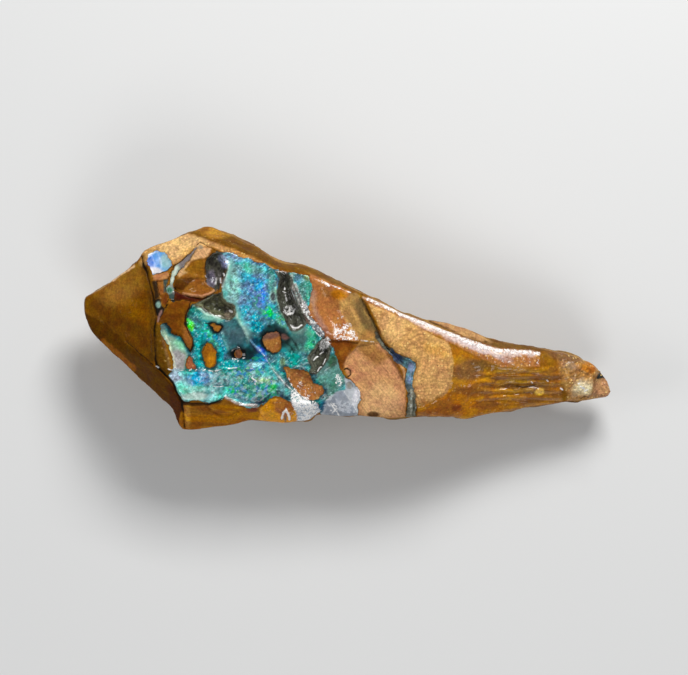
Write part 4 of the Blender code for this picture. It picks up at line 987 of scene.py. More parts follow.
# where each quality is, and how much of it
QUALITIES = {
    Quality.GRIT: (
        (SAND_TRIANGLE, 0.9), (SAND_FACET, 0.9), (BRIGHT_STRIP, 0.6), (TIP, 1.0), (SOUTH_BIT, 0.8),
        (TERRACE_BIT, 0.3), (SOUTH_LUMP, 0.5), (GLOSSY_EAST, 0.25),
        (Band(((-20.9, -0.6), (-20.5, -2.4), (-20.1, -3.8), (-19.95, -4.8)), 0.3), 0.4), (MIDDLE_BIT, 0.4),
        (NORTH_STRIP, 0.25), (SPARKLE_CORNER, 0.6),
    ),
    Quality.BRUSHED: (
        (BRUSHED_FACET, 1.0), (BROWN_PLATE, 0.4),
        (Band(((-16.2, 8.6), (-17.3, 7.6), (-18.6, 6.1)), 0.6), 1.0),
    ),
    Quality.DRAWN: (
        (Spot((9.8, -5.8), (2.6, 3.0)), 0.8), (SOUTH_BEVEL, 0.45), (Spot((18.8, -6.1), (3.2, 1.3), -3), 0.8),
        (NORTH_STRIP, 0.6), (BACK_RIM, 0.7), (GOLDEN_PLATE, 0.5),
    ),
    Quality.FLOWING: (
        (GLOSSY_EAST, 0.5), (SOUTH_BEVEL, 0.5), (WEST_FACET, 0.12), (SAND_TRIANGLE, 0.2),
    ),
    Quality.POLISH: (
        (GLOSSY_EAST, 1.0), (SOUTH_LUMP, 0.7), (ORANGE_BLOCK, 0.5), (SCOOP, 0.3), (ORANGE_OVAL, 0.7),
        (TIP, 0.6),
    ),
    Quality.VIVID: (
        (Spot((-8.9, 1.8), (0.8, 0.8)), 0.7), (Spot((-12.8, -7.0), (0.8, 0.5)), 0.8),
        (Spot((-8.6, -6.8), (0.8, 0.7)), 0.8), (Spot((-15.4, -1.0), (0.5, 1.6), 40), 0.5),
        (Spot((-9.7, 3.6), (0.9, 1.8)), 0.4), (Spot((-11.3, -4.8), (2.2, 0.6)), 0.85),
        (Spot((-10.3, -6.7), (2.8, 1.4), -8), 0.5), (Spot((-10.0, -3.6), (1.2, 0.6)), 0.5),
        (Spot((-7.4, 0.9), (0.4, 0.8), 20), 0.5), (Spot((-4.1, -1.0), (0.4, 1.1)), 0.4),
    ),
    # white speckle, mostly painted glints on glossy places
    Quality.SPECKLE_AND_GLINT: (
        (Band(((2.4, 3.3), (5.0, 2.1), (7.0, 1.25), (9.0, 0.4), (10.9, -0.4), (12.8, -1.2), (15.2, -2.05),
            (16.6, -2.5), (20.0, -2.75), (21.7, -2.85)), 0.25), 0.95), (BRIGHT_STRIP, 0.25),
        (SPECKLE_GLINT_WEDGE, 0.7), (Band(GLINT_CHAIN, 0.36), 0.62), (SPARKLE_CORNER, 0.74),
        (Spot((-5.7, -8.0), (0.6, 0.9), 20), 1.3), (Spot((-4.4, -8.6), (0.9, 0.5), -30), 1.25),
        (Spot((-4.6, -10.1), (0.5, 0.6)), 1.2), (Spot((-2.5, -1.8), (0.5, 0.85), -35), 0.9),
        (Spot((-6.5, 2.0), (0.65, 0.6)), 0.8), (Spot((-1.4, -9.1), (0.5, 0.9), 25), 0.55),
        (Band(((-6.6, -5.7), (-6.0, -6.8), (-5.4, -7.4)), 0.12), 0.8),
        (Spot((-4.9, -6.8), (1.2, 0.9), -30), 0.3), (Spot((-0.8, 1.5), (0.35, 0.6)), 0.35),
        (SAND_TRIANGLE, 0.05), (Spot((26.8, -6.8), (1.2, 0.8)), 0.2), (Spot((-6.0, -9.2), (0.6, 0.9)), 0.4),
        (Spot((1.1, -7.8), (0.35, 1.1), -15), 0.6), (Spot((-1.0, -5.8), (0.5, 0.8)), 0.75),
        (Spot((-2.5, 5.0), (0.6, 0.2), -25), 0.9), (Spot((-4.3, -7.2), (1.2, 0.5), -25), 0.3),
        (Spot((-10.0, -5.9), (1.6, 0.6)), 0.3), (Spot((-7.9, 6.5), (1.2, 0.25), -18), 0.45),
    ),
    Quality.CALM: (
        (BLUE_PATCH, 1.0), (NORTH_VEIN, 1.0), (EAST_SPLIT, 0.3), (SMOKY_SHEEN_FAN, 1.0), (SMOKY_WINDOW, 0.62),
        (Band(LOBE_RIM, 0.6), 0.7),
        (Region(((-21.2, 0.6), (-18.2, -1.0), (-17.6, -3.0), (-18.0, -4.6), (-20.4, -4.6))), 0.6),
        (Spot((-15.2, 1.1), (1.3, 0.6), -12), 0.8), (Spot((-17.0, -7.7), (2.0, 0.45)), 0.7),
        (Spot((-16.6, -6.4), (2.6, 1.6)), 0.2), (Spot((-18.2, -6.6), (1.6, 0.9)), 0.4),
        (Spot((-5.4, -0.8), (1.7, 0.9)), 0.8), (Spot((-1.6, -5.2), (1.4, 2.0)), 0.5),
        (Spot((-11.3, -2.6), (2.0, 1.1), -15), 0.65), (Spot((-7.6, -1.2), (1.8, 1.6)), 0.7),
    ),
}

# strokes of light on glassy edges: half the breadth in mm, and the points of each such stroke
GLINTS = {
    0.03: (
        ((-18.9, -4.7), (-18.3, -4.75)), ((-15.1, -6.55), (-14.4, -6.6), (-13.9, -6.5)),
        ((-9.15, -3.3), (-8.5, -4.35)), ((-8.3, -4.7), (-7.9, -5.2)),
    ),
    0.035: (
        ((-12.9, -3.4), (-12.4, -3.5)), ((-11.4, -4.55), (-10.6, -4.5)), ((-9.8, -2.45), (-9.3, -3.1)),
        ((-0.35, -7.1), (0.4, -8.2), (1.2, -9.6)), ((1.5, -1.4), (3.0, -1.55)),
    ),
    0.04: (((-11.7, -3.4), (-11.5, -3.3)), ((-7.7, -5.4), (-7.1, -6.1))),
    0.045: (
        ((-20.1, -4.6), (-19.7, -4.7)), ((-10.9, -8.65), (-10.5, -8.68)), ((-6.8, -6.4), (-6.4, -6.8)),
        ((-1.6, 4.75), (-0.9, 4.4)), ((0.0, 4.15), (0.4, 4.0)),
    ),
    0.05: (
        ((-7.3, 4.1), (-6.9, 4.0)), ((-3.1, -2.9), (-2.6, -2.6)), ((-3.4, -4.9), (-3.1, -4.4), (-2.9, -4.3)),
        ((-2.7, -4.0), (-2.45, -3.4)), ((-14.8, -4.8), (-14.2, -4.7)), ((-13.4, -4.5), (-12.4, -4.45)),
        ((-13.8, -7.6), (-13.4, -7.95)), ((-13.0, -8.2), (-12.6, -8.42)), ((-12.1, -8.6), (-11.4, -8.62)),
    ),
    0.055: (((-16.2, -4.8), (-15.9, -4.55)), ((-15.6, -4.75), (-15.1, -4.85)), ((22.5, -5.8), (22.75, -6.0))),
    0.06: (
        ((-7.0, 3.75), (-6.95, 3.65)), ((-6.45, 2.25), (-6.6, 1.6)),
        ((-3.8, -3.6), (-3.5, -3.25), (-3.3, -3.2)), ((-17.7, -4.75), (-17.5, -4.6)),
        ((-17.0, -4.8), (-16.9, -4.65)), ((-1.9, -8.5), (-1.3, -9.2), (-0.9, -9.9)),
        ((-6.95, -9.0), (-6.85, -9.05)), ((26.2, -6.3), (26.4, -6.2)), ((-22.4, 8.25), (-22.0, 8.45)),
    ),
    0.07: (
        ((-13.9, 6.15), (-13.8, 5.85)), ((-14.8, 1.4), (-14.2, 1.35)), ((-7.1, 4.6), (-7.05, 4.4)),
        ((-10.75, -5.55), (-10.2, -6.0)), ((20.85, -6.1), (21.0, -6.2)), ((24.2, -6.85), (24.45, -7.0)),
    ),
    0.075: (((-14.25, 5.6), (-14.2, 5.1)), ((-21.4, -4.3), (-21.2, -4.45))),
    0.08: (((-6.35, 0.35), (-6.1, 0.05), (-5.6, 0.05), (-5.15, 0.35)), ((26.9, -7.2), (27.3, -7.0))),
    0.09: (((-6.85, 3.4), (-6.8, 3.1)),),
    0.095: (((-2.4, 5.05), (-2.0, 4.75)),),
    0.1: (((26.5, -6.6), (26.9, -6.9)),),
    0.12: (
        ((-13.2, 1.95), (-12.95, 1.8)),
        ((-7.35, -10.2), (-7.2, -9.5), (-6.9, -9.25), (-6.65, -9.7), (-6.5, -10.3)),
    ),
}

# seams of the bedding on the sides: height and depth in mm
SEAMS = ((2.1, 0.25), (3.7, 0.18), (5.6, 0.3), (7.0, 0.14), (8.6, 0.24))
SEAM_HALF = 0.16


# ---------------------------------------------------------------------------------------------------
# The stone


@dataclass
class StoneSkin:
    """The fine skin of the stone, from the solid part.

    Attributes:
        node: the solid part's name.
        name: the skin's name.
        voxel: breadth of the skin's facets on the sides, in mm.
        smoothing: rounds of softening before the relief is carved.
        softness: how far one round moves a point towards its neighbours' middle.
        face_rise: how far up a facet looks where it counts as the face.
        face_height: how high in mm a facet lies where it counts as the face.
        face_cuts: cuts across each facet of the face.
    """

    node: str = "boulder_opal"
    name: str = "opal_stone"
    voxel: float = 0.38
    smoothing: int = 1
    softness: float = 0.5
    face_rise: float = 0.36
    face_height: float = 5.0
    face_cuts: int = 2

    def build(self) -> bpy.types.Object:
        """Copies the solid part and gives it a fine, even skin.

        Returns:
            The skin, ready to carve.
        """
        bpy.ops.object.select_all(action="DESELECT")
        source = bpy.data.objects[self.node]
        skin = bpy.data.objects.new(self.name, source.data.copy())
        bpy.context.scene.collection.objects.link(skin)
        bpy.context.view_layer.objects.active = skin
        skin.select_set(True)
        skin.data.materials.clear()
        bpy.ops.object.mode_set(mode="EDIT")
        bpy.ops.mesh.select_all(action="SELECT")
        bpy.ops.mesh.remove_doubles(threshold=1e-6)
        bpy.ops.object.mode_set(mode="OBJECT")
        remesh = skin.modifiers.new("even skin", "REMESH")
        remesh.mode = "VOXEL"
        remesh.voxel_size = self.voxel * MM
        bpy.ops.object.modifier_apply(modifier=remesh.name)
        soften = skin.modifiers.new("soften", "SMOOTH")
        soften.factor = self.softness
        soften.iterations = self.smoothing
        bpy.ops.object.modifier_apply(modifier=soften.name)
        self._refine_face(skin)
        LOG.info("%s: %d faces", skin.name, len(skin.data.polygons))
        return skin

    def _refine_face(self, skin: bpy.types.Object) -> None:
        """Cuts the facets of the face finer.

        Args:
            skin: the skin.
        """
        bpy.ops.object.mode_set(mode="EDIT")
        bpy.ops.mesh.select_mode(type="FACE")
        bpy.ops.mesh.select_all(action="DESELECT")
        bpy.ops.object.mode_set(mode="OBJECT")
        for facet in skin.data.polygons:
            facet.select = facet.normal.z > self.face_rise and facet.center.z > self.face_height * MM
        bpy.ops.object.mode_set(mode="EDIT")
        bpy.ops.mesh.subdivide(number_cuts=self.face_cuts, smoothness=0.0)
        bpy.ops.object.mode_set(mode="OBJECT")


class StoneSurface:
    """Reads a skin's points once, and carves and paints them.

    Attributes:
        wander: how far the outlines wander off their points, in mm.
        raggedness: how far the opal's edge breaks in and out, in mm.
        island: rounds that even the face out, which drops its stray facets.
        shoulder_run: how far down the sides the face's edge is felt, in facets.
        outside: the depth in mm that stands for nowhere near.
        flute_gap: how far apart the flutes towards the tip run, in mm.
        shell_middle: middle of the curved steps on the west facet, in mm.
        shell_gap: how far apart those steps run, in mm.
    """

    wander: float = 0.13
    raggedness: float = 0.26
    island: int = 24
    shoulder_run: int = 40
    outside: float = -2.0
    flute_gap: float = 0.85
    shell_middle: tuple[float, float] = (-30.5, -6.0)
    shell_gap: float = 2.6

    def __init__(self, skin: bpy.types.Object) -> None:
        """Takes the skin's points.

        Args:
            skin: the stone's skin.
        """
        self.skin = skin
        self.points = self._read("co") / MM
        self.normals = self._read("normal")
        warp = np.stack([cloud(self.points, 0.9, 11 + k, 3) for k in (0, 40)], axis=1)
        self.plan = self.points[:, :2] + self.wander * warp
        # 1 where the skin looks up and lies high, 0 on the sides and the under side
        self.face = ease((self.normals[:, 2] - 0.12) / 0.3) * ease((self.points[:, 2] - 3.0) / 1.5)
        self.face *= ease((self._average(self.face, self.island) - 0.25) / 0.35)
        self.upper = self.face > 0.02
        self.shoulder = self._average(self.face, self.shoulder_run, self.face)

    def _read(self, name: str) -> Array:
        """The skin's values of one kind.

        Args:
            name: what is read of each point.

        Returns:
            (n, 3) numbers.
        """
        values = np.empty(len(self.skin.data.vertices) * 3)
        self.skin.data.vertices.foreach_get(name, values)
        return values.reshape(-1, 3)

    def _average(self, values: Array, rounds: int, least: Array | float = 0.0) -> Array:
        """Evens values out over the skin.

        Args:
            values: (n,) numbers.
            rounds: how many facets far they run.
            least: what they never fall below.

        Returns:
            (n,) numbers.
        """
        ends = np.empty(len(self.skin.data.edges) * 2, dtype=np.int64)
        self.skin.data.edges.foreach_get("vertices", ends)
        a, b = ends.reshape(-1, 2).T
        count = np.bincount(a, minlength=len(values)) + np.bincount(b, minlength=len(values))
        even = values.copy()
        for _ in range(rounds):
            around = np.bincount(a, even[b], len(values)) + np.bincount(b, even[a], len(values))
            even = np.maximum(least, around / np.maximum(count, 1))
        return even

    def _store(self, name: str, values: Array) -> None:
        """Keeps one value, or one colour, for each point.

        Args:
            name: the attribute's name.
            values: (n,) numbers or (n, 3) colours.
        """
        if values.ndim == 1:
            attribute = self.skin.data.attributes.new(name, "FLOAT", "POINT")
            attribute.data.foreach_set("value", values.astype(np.float32))
            return
        attribute = self.skin.data.attributes.new(name, "FLOAT_COLOR", "POINT")
        colours = np.hstack([values, np.ones((len(values), 1))]).astype(np.float32)
        attribute.data.foreach_set("color", colours.ravel())

    def carve(self) -> None:
        """Cuts the face's small relief, then the chips and seams of the sides."""
        drop = np.zeros(len(self.points))
        for basin in BASINS:
            drop += basin.depth * ease(basin.where.depth(self.plan) / basin.edge)
        uneven = 1 + 0.5 * cloud(self.points, 1.1, 17, 2)
        for groove in GROOVES:
            away = groove.away(self.plan)
            drop += groove.depth * uneven * np.exp(-((away / groove.width) ** 2))
            LOG.debug("carved %s", groove.name)
        drop += self._face_texture()
        self.points[:, 2] -= drop * self.face
        self._carve_sides()
        self.skin.data.vertices.foreach_set("co", (self.points * MM).ravel())
        self.skin.data.update()

    def _face_texture(self) -> Array:
        """The uneven skin of each kind of broken face.

        Returns:
            (n,) depths in mm.
        """
        p, plan = self.points, self.plan
        first, second = pebbles(p, 0.55, 5)
        grain = first - 0.45
        coarse = cloud(p, 0.7, 21, 3)
        fine = cloud(p, 0.28, 31, 2)
        sandy = ease(SAND_TRIANGLE.depth(plan) / 0.3) + 0.7 * ease(SAND_FACET.depth(plan) / 0.3)
        sandy += 0.9 * ease(BRIGHT_STRIP.depth(plan) / 0.2)
        opal = ease(OPAL_FACE.depth(plan) / 0.2)
        smoky = np.max([ease(region.depth(plan) / 0.3) for region in SMOKY], axis=0)
        tip = ease(TIP.depth(plan) / 0.5)
        flutes = ease((p[:, 0] - 14.0) / 2.0) * ease((25.0 - p[:, 0]) / 1.5)
        flutes *= ease((-4.7 - p[:, 1]) / 0.5) * ease((p[:, 1] + 8.8) / 0.6)
        bent = p[:, 1] + 0.25 * cloud(p * (0.35, 1, 1), 1.2, 51)
        waves = np.sin(bent * 2 * math.pi / self.flute_gap)
        west = ease(WEST_FACET.depth(plan) / 0.6)
        from_middle = np.hypot(*(p[:, :2] - self.shell_middle).T)
        shells = np.sin(from_middle * 2 * math.pi / self.shell_gap + coarse)
        texture = 0.05 * coarse + 0.02 * fine
        texture += sandy * (0.1 * grain + 0.03 * fine)
        texture += opal * (0.035 * cloud(p, 0.45, 61, 2) + 0.03 * cloud(p, 1.6, 62, 2))
        texture += smoky * (0.14 * cloud(p, 0.5, 71, 2))
        texture += tip * (0.3 * cloud(p, 1.0, 81, 3) + 0.2 * (second - first - 0.3))
        texture += flutes * 0.12 * waves
        texture += west * 0.035 * shells
        return texture

    def _carve_sides(self) -> None:
        """Chips, bedding seams and grain on the sides and the under side."""
        p = self.points
        above_rest = ease(p[:, 2] / 0.6)
        side = (1 - self.face) * above_rest * (1 - 0.85 * ease((self.shoulder - 0.1) / 0.6))
        chips, _ = pebbles(p, 2.3, 91)
        small, _ = pebbles(p, 0.8, 95)
        layer = p[:, 2] + 0.5 * cloud(p, 6.0, 101, 2) + 0.05 * p[:, 1]
        seam = np.zeros(len(p))
        for height, depth in SEAMS:
            seam += depth * np.exp(-(((layer - height) / SEAM_HALF) ** 2))
        seam *= 0.6 + 0.4 * cloud(p, 3.0, 111)
        sink = 0.26 * chips + 0.12 * small + 0.1 * cloud(p, 1.2, 121, 3) + seam - 0.2
        self.points = p - self.normals * (sink * side)[:, None]

    def paint(self) -> None:
        """Stores the two minerals' colours and the masks that the finish reads."""
        for coat in Coat:
            self._store(f"{coat.value}_colour", self._coloured(coat))
        self._paint_opal_edge()
        self._paint_lines()
        for quality, places in QUALITIES.items():
            amount = np.zeros(len(self.points))
            for where, share in places:
                amount = np.maximum(amount, share * ease(where.depth(self.plan) / 0.3 + 0.5))
            self._store(quality.value, amount * self.face)
        self._store("side", 1 - self.face)

    def _coloured(self, coat: Coat) -> Array:
        """One mineral's tints, laid over each other in order.

        Args:
            coat: the mineral.

        Returns:
            (n, 3) colours in linear light.
        """
        base, tints = COATS[coat]
        colours = np.tile(linear(base), (len(self.points), 1))
        uneven = cloud(self.points, 0.8, 131, 2)
        for tint in tints:
            colours += tint.share(self.plan, uneven)[:, None] * (linear(tint.colour) - colours)
            LOG.debug("painted %s", tint.name)
        if coat is Coat.OPAL:
            uneven = 1.1 + 0.5 * cloud(self.points, 0.5, 137, 2)
            for region, breadth, darkness in RINGS:
                colours *= 1 - darkness * ease(uneven + region.depth(self.plan) / breadth)[:, None]
        return colours

    def _paint_opal_edge(self) -> None:
        """Stores how far inside the opal, and inside its smoky hollows, each point is."""
        smoke = np.max([region.depth(self.plan) for region in SMOKY], axis=0)
        opal = np.max([region.depth(self.plan) for region in OPAL_PATCHES] + [smoke], axis=0)
        for bit in IRONSTONE_BITS:
            opal = np.minimum(opal, -bit.depth(self.plan))
        opal += self.raggedness * cloud(self.points, 0.75, 151, 3)
        self._store("opal_depth", np.where(self.upper, opal, self.outside))
        self._store("smoke_depth", np.where(self.upper, smoke, self.outside))

    def _paint_lines(self) -> None:
        """Stores the dark of cracks and of painted groove shade, and the nearness of the painted strokes of
        light.
        """
        p = self.points
        dark = np.zeros(len(p))
        thick = 0.9 + 0.5 * cloud(p, 0.7, 141, 3)
        faint = np.clip(0.85 + 0.6 * cloud(p, 1.7, 147, 2), 0.45, 1.0)
        for groove in GROOVES:
            if groove.dark > 0:
                line = np.exp(-((groove.away(self.plan) / (groove.stain * thick)) ** 2))
                dark = np.maximum(dark, groove.dark * faint * line)
        self._store("crack", dark * self.face)
        steadier = (p[:, :2] + self.plan) / 2
        strokes = [Band(points, half) for half, lines in GLINTS.items() for points in lines]
        glint = np.max([stroke.depth(steadier, 0.5) for stroke in strokes], axis=0)
        self._store("glint", np.where(self.upper, glint, self.outside))


# ---------------------------------------------------------------------------------------------------
# The finish


class Nodes:
    """Adds shader nodes to a tree and joins them up."""

    def __init__(self, tree: bpy.types.NodeTree) -> None:
        """Takes the tree to build in."""
        self.tree = tree

    def add(self, kind: str, inputs: Inputs | None = None, **settings: object) -> bpy.types.Node:
        """Adds a node.

        Args:
            kind: the node's type, without its ShaderNode prefix.
            inputs: input name or number to a value or to the output that feeds it.
            settings: the node's own settings.

        Returns:
            The node.
        """
        node = self.tree.nodes.new("ShaderNode" + kind)
        for key, value in settings.items():
            setattr(node, key, value)
        for key, value in (inputs or {}).items():
            if isinstance(value, Socket):
                self.tree.links.new(value, node.inputs[key])
            else:
                node.inputs[key].default_value = value
        return node

    def math(self, operation: str, first: Value, *others: Value) -> Socket:
        """Joins numbers by one operation, two at a time.

        Args:
            operation: what is done with them.
            first: the number that it starts from.
            others: the numbers that follow.

        Returns:
            The result's output.
        """
        total = first
        for other in others:
            total = self.add("Math", {0: total, 1: other}, operation=operation).outputs[0]
        return total

    def mix(self, share: Value, a: Value, b: Value) -> Socket:
        """Two colours mixed.

        Args:
            share: how much of b.
            a: the first colour.
            b: the second colour.

        Returns:
            The mixed colour's output.
        """
        return self.add("Mix", {0: share, 6: a, 7: b}, data_type="RGBA").outputs[2]

    def tone(self, colour: Value, hue: Value, rich: Value, bright: Value) -> Socket:
        """A colour changed in tone.

        Args:
            colour: the colour.
            hue: its turn round the colour wheel, from 0 to 1, where 0.5 leaves it.
            rich: how many times as rich it becomes.
            bright: how many times as bright it becomes.

        Returns:
            The changed colour's output.
        """
        inputs = {"Color": colour, "Hue": hue, "Saturation": rich, "Value": bright}
        return self.add("HueSaturation", inputs).outputs[0]

    def span(
        self, value: Value, low: float, high: float, to_low: Value = 0.0, to_high: Value = 1.0,
        smooth: bool = True,
    ) -> Socket:
        """A range mapped onto another.

        Args:
            value: what is mapped.
            low: start of its range.
            high: end of its range.
            to_low: what the start becomes.
            to_high: what the end becomes.
            smooth: whether it eases in and out.

        Returns:
            The mapped value's output.
        """
        kind = "SMOOTHSTEP" if smooth else "LINEAR"
        inputs = {"Value": value, "From Min": low, "From Max": high, "To Min": to_low, "To Max": to_high}
        return self.add("MapRange", inputs, interpolation_type=kind).outputs[0]

    def blend(self, share: Value, none: Value, full: Value) -> Socket:
        """A number between what it is at a share of 0 and at a share of 1."""
        return self.span(share, 0.0, 1.0, none, full, False)

    def attribute(self, name: str, output: str = "Fac") -> Socket:
        """One of the stone's stored attributes."""
        return self.add("Attribute", attribute_name=name).outputs[output]

    def noise(
        self, vector: Value, scale: float, detail: float, roughness: float = 0.5, curl: float = 0.0
    ) -> Socket:
        """Soft noise.

        Args:
            vector: the place in mm.
            scale: how many waves it has to the mm.
            detail: how many finer layers are laid over it.
            roughness: how strong the finer layers are.
            curl: how far its shapes are bent.

        Returns:
            The noise's output.
        """
        inputs = {"Vector": vector, "Scale": scale, "Detail": detail, "Roughness": roughness}
        return self.add("TexNoise", inputs | {"Distortion": curl}).outputs[0]

    def lines(self, vector: Value, turn: float, along: float, across: float, detail: float) -> Socket:
        """Noise drawn out into lines.

        Args:
            vector: the place in mm.
            turn: which way the lines run, in degrees.
            along: how long they are, in mm.
            across: how far apart they are, in mm.
            detail: how many finer layers are laid over it.

        Returns:
            The noise's output.
        """
        inputs = {"Vector": vector, "Rotation": (0, 0, math.radians(turn)), "Scale": (along, across, 1.0)}
        return self.noise(self.add("Mapping", inputs, vector_type="TEXTURE").outputs[0], 1.0, detail)

    def cells(self, vector: Value, breadth: float) -> tuple[Socket, list[Socket]]:
        """Packed cells.

        Args:
            vector: the place in mm.
            breadth: breadth of a cell in mm.

        Returns:
            The distance from a cell's middle, and three random numbers for each cell.
        """
        cells = self.add("TexVoronoi", {"Vector": vector, "Scale": 1 / breadth})
        split = self.add("SeparateColor", {"Color": cells.outputs["Color"]})
        return cells.outputs["Distance"], list(split.outputs)


class Effect(Nodes):
    """Builds a node group with named sockets.

    Attributes:
        given: what comes in: the place, then the inputs in their order.
        sink: the node that takes what goes out.
    """

    def __init__(self, name: str, inputs: dict[str, str], outputs: dict[str, str]) -> None:
        """Starts the group.

        Args:
            name: the group's name.
            inputs: socket name to socket type, after the place in mm.
            outputs: socket name to socket type.
        """
        super().__init__(bpy.data.node_groups.new(name, "ShaderNodeTree"))
        inputs = {"Vector": "Vector"} | inputs
        for way, sockets in (("INPUT", inputs), ("OUTPUT", outputs)):
            for socket, kind in sockets.items():
                self.tree.interface.new_socket(name=socket, in_out=way, socket_type="NodeSocket" + kind)
        source = self.tree.nodes.new("NodeGroupInput")
        self.given = [source.outputs[socket] for socket in inputs]
        self.sink = self.tree.nodes.new("NodeGroupOutput")

    def give(self, name: str, value: Socket) -> None:
        """Sends a value out of the group."""
        self.tree.links.new(value, self.sink.inputs[name])


@dataclass(frozen=True)
class PlayOfColour:
    """The opal's play of colour: clouds, mottling, small flecks, and flashes where it is vivid.

    Attributes:
        fleck: breadth of a fleck of another hue, in mm.
        flash: breadth of a vivid flash, in mm.
        dot: breadth of a pale dot's cell, in mm.
        clouds: waves of the broad clouds to the mm.
        mottling: waves of the mottling to the mm.
        shimmer: turn of the fine strokes in degrees, then their length and spacing in mm.
        green: the green flashes.
        blue: the blue flashes.
        pale: what the dots and the strokes lean to.
        lean: how far they lean to it.
    """

    fleck: float = 0.26
    flash: float = 0.34
    dot: float = 0.27
    clouds: float = 0.9
    mottling: float = 2.2
    shimmer: tuple[float, float, float] = (38.0, 0.55, 0.16)
    green: Colour = (0.02, 0.42, 0.12, 1)
    blue: Colour = (0.03, 0.2, 0.62, 1)
    pale: Colour = (0.5, 0.84, 0.78, 1)
    lean: float = 0.62

    def group(self) -> bpy.types.NodeTree:
        """Builds the effect.

        Returns:
            The node group, with inputs Vector, Colour, Vivid and Calm and output Colour.
        """
        inputs = {"Colour": "Color", "Vivid": "Float", "Calm": "Float"}
        n = Effect("play_of_colour", inputs, {"Colour": "Color"})
        vector, colour, vivid, calm = n.given
        bend = n.add("TexNoise", {"Vector": vector, "Scale": 1.6, "Detail": 3.0}).outputs["Color"]
        bend = n.add("VectorMath", {0: bend, 3: 0.35}, operation="SCALE").outputs[0]
        bent = n.add("VectorMath", {0: vector, 1: bend}, operation="ADD").outputs[0]
        clouds = n.noise(vector, self.clouds, 2.0)
        mottle = n.noise(bent, self.mottling, 4.0, 0.68)
        strokes = n.lines(bent, *self.shimmer, 1.0)
        _, fleck = n.cells(bent, self.fleck)

        bright = n.math(
            "MULTIPLY", n.span(clouds, 0.32, 0.68, 0.72, 1.22), n.span(mottle, 0.32, 0.68, 0.42, 1.4),
            n.span(strokes, 0.36, 0.64, 0.84, 1.18), n.blend(fleck[0], 0.72, 1.28),
        )
        bright = n.blend(calm, bright, n.span(mottle, 0.3, 0.7, 0.84, 1.14))
        hue = n.math("ADD", n.span(clouds, 0.3, 0.7, 0.518, 0.472), n.blend(fleck[1], -0.025, 0.025))
        hue = n.blend(calm, hue, 0.498)
        shown = n.tone(colour, hue, n.span(clouds, 0.35, 0.65, 0.85, 1.15), bright)

        _, pick = n.cells(bent, self.flash)
        flash = n.mix(n.span(pick[1], 0.45, 0.55), self.green, self.blue)
        shown = n.mix(n.math("MULTIPLY", n.span(pick[0], 0.5, 0.62), vivid, 0.75), shown, flash)

        away, chance = n.cells(vector, self.dot)
        dot = n.math("MULTIPLY", n.span(away, 0.42, 0.16), n.span(chance[0], 0.5, 0.6))
        dot = n.math("MAXIMUM", dot, n.span(strokes, 0.62, 0.72))
        greenness = n.add("SeparateColor", {"Color": colour}).outputs[1]
        dot = n.math(
            "MULTIPLY", dot, n.span(mottle, 0.38, 0.56), n.span(greenness, 0.08, 0.25),
            n.blend(calm, 0.85, 0.12),
        )
        n.give("Colour", n.mix(dot, shown, n.mix(self.lean, shown, self.pale)))
        return n.tree


@dataclass(frozen=True)
class SmokyPotch:
    """The hollows' dull glassy potch: dark, with murky lighter clots, of this breadth in mm."""

    clot: float = 0.4

    def group(self) -> bpy.types.NodeTree:
        """Builds the effect.

        Returns:
            The node group, with inputs Vector and Colour and output Colour.
        """
        n = Effect("smoky_potch", {"Colour": "Color"}, {"Colour": "Color"})
        vector, colour = n.given
        clots = n.noise(vector, 1 / self.clot, 4.0, 0.65)
        broad = n.noise(vector, 0.9, 2.0)
        bright = n.math("MULTIPLY", n.span(clots, 0.32, 0.68, 0.5, 1.6), n.span(broad, 0.35, 0.65, 0.6, 1.35))
        n.give("Colour", n.tone(colour, n.span(broad, 0.3, 0.7, 0.47, 0.53), 1.0, bright))
        return n.tree


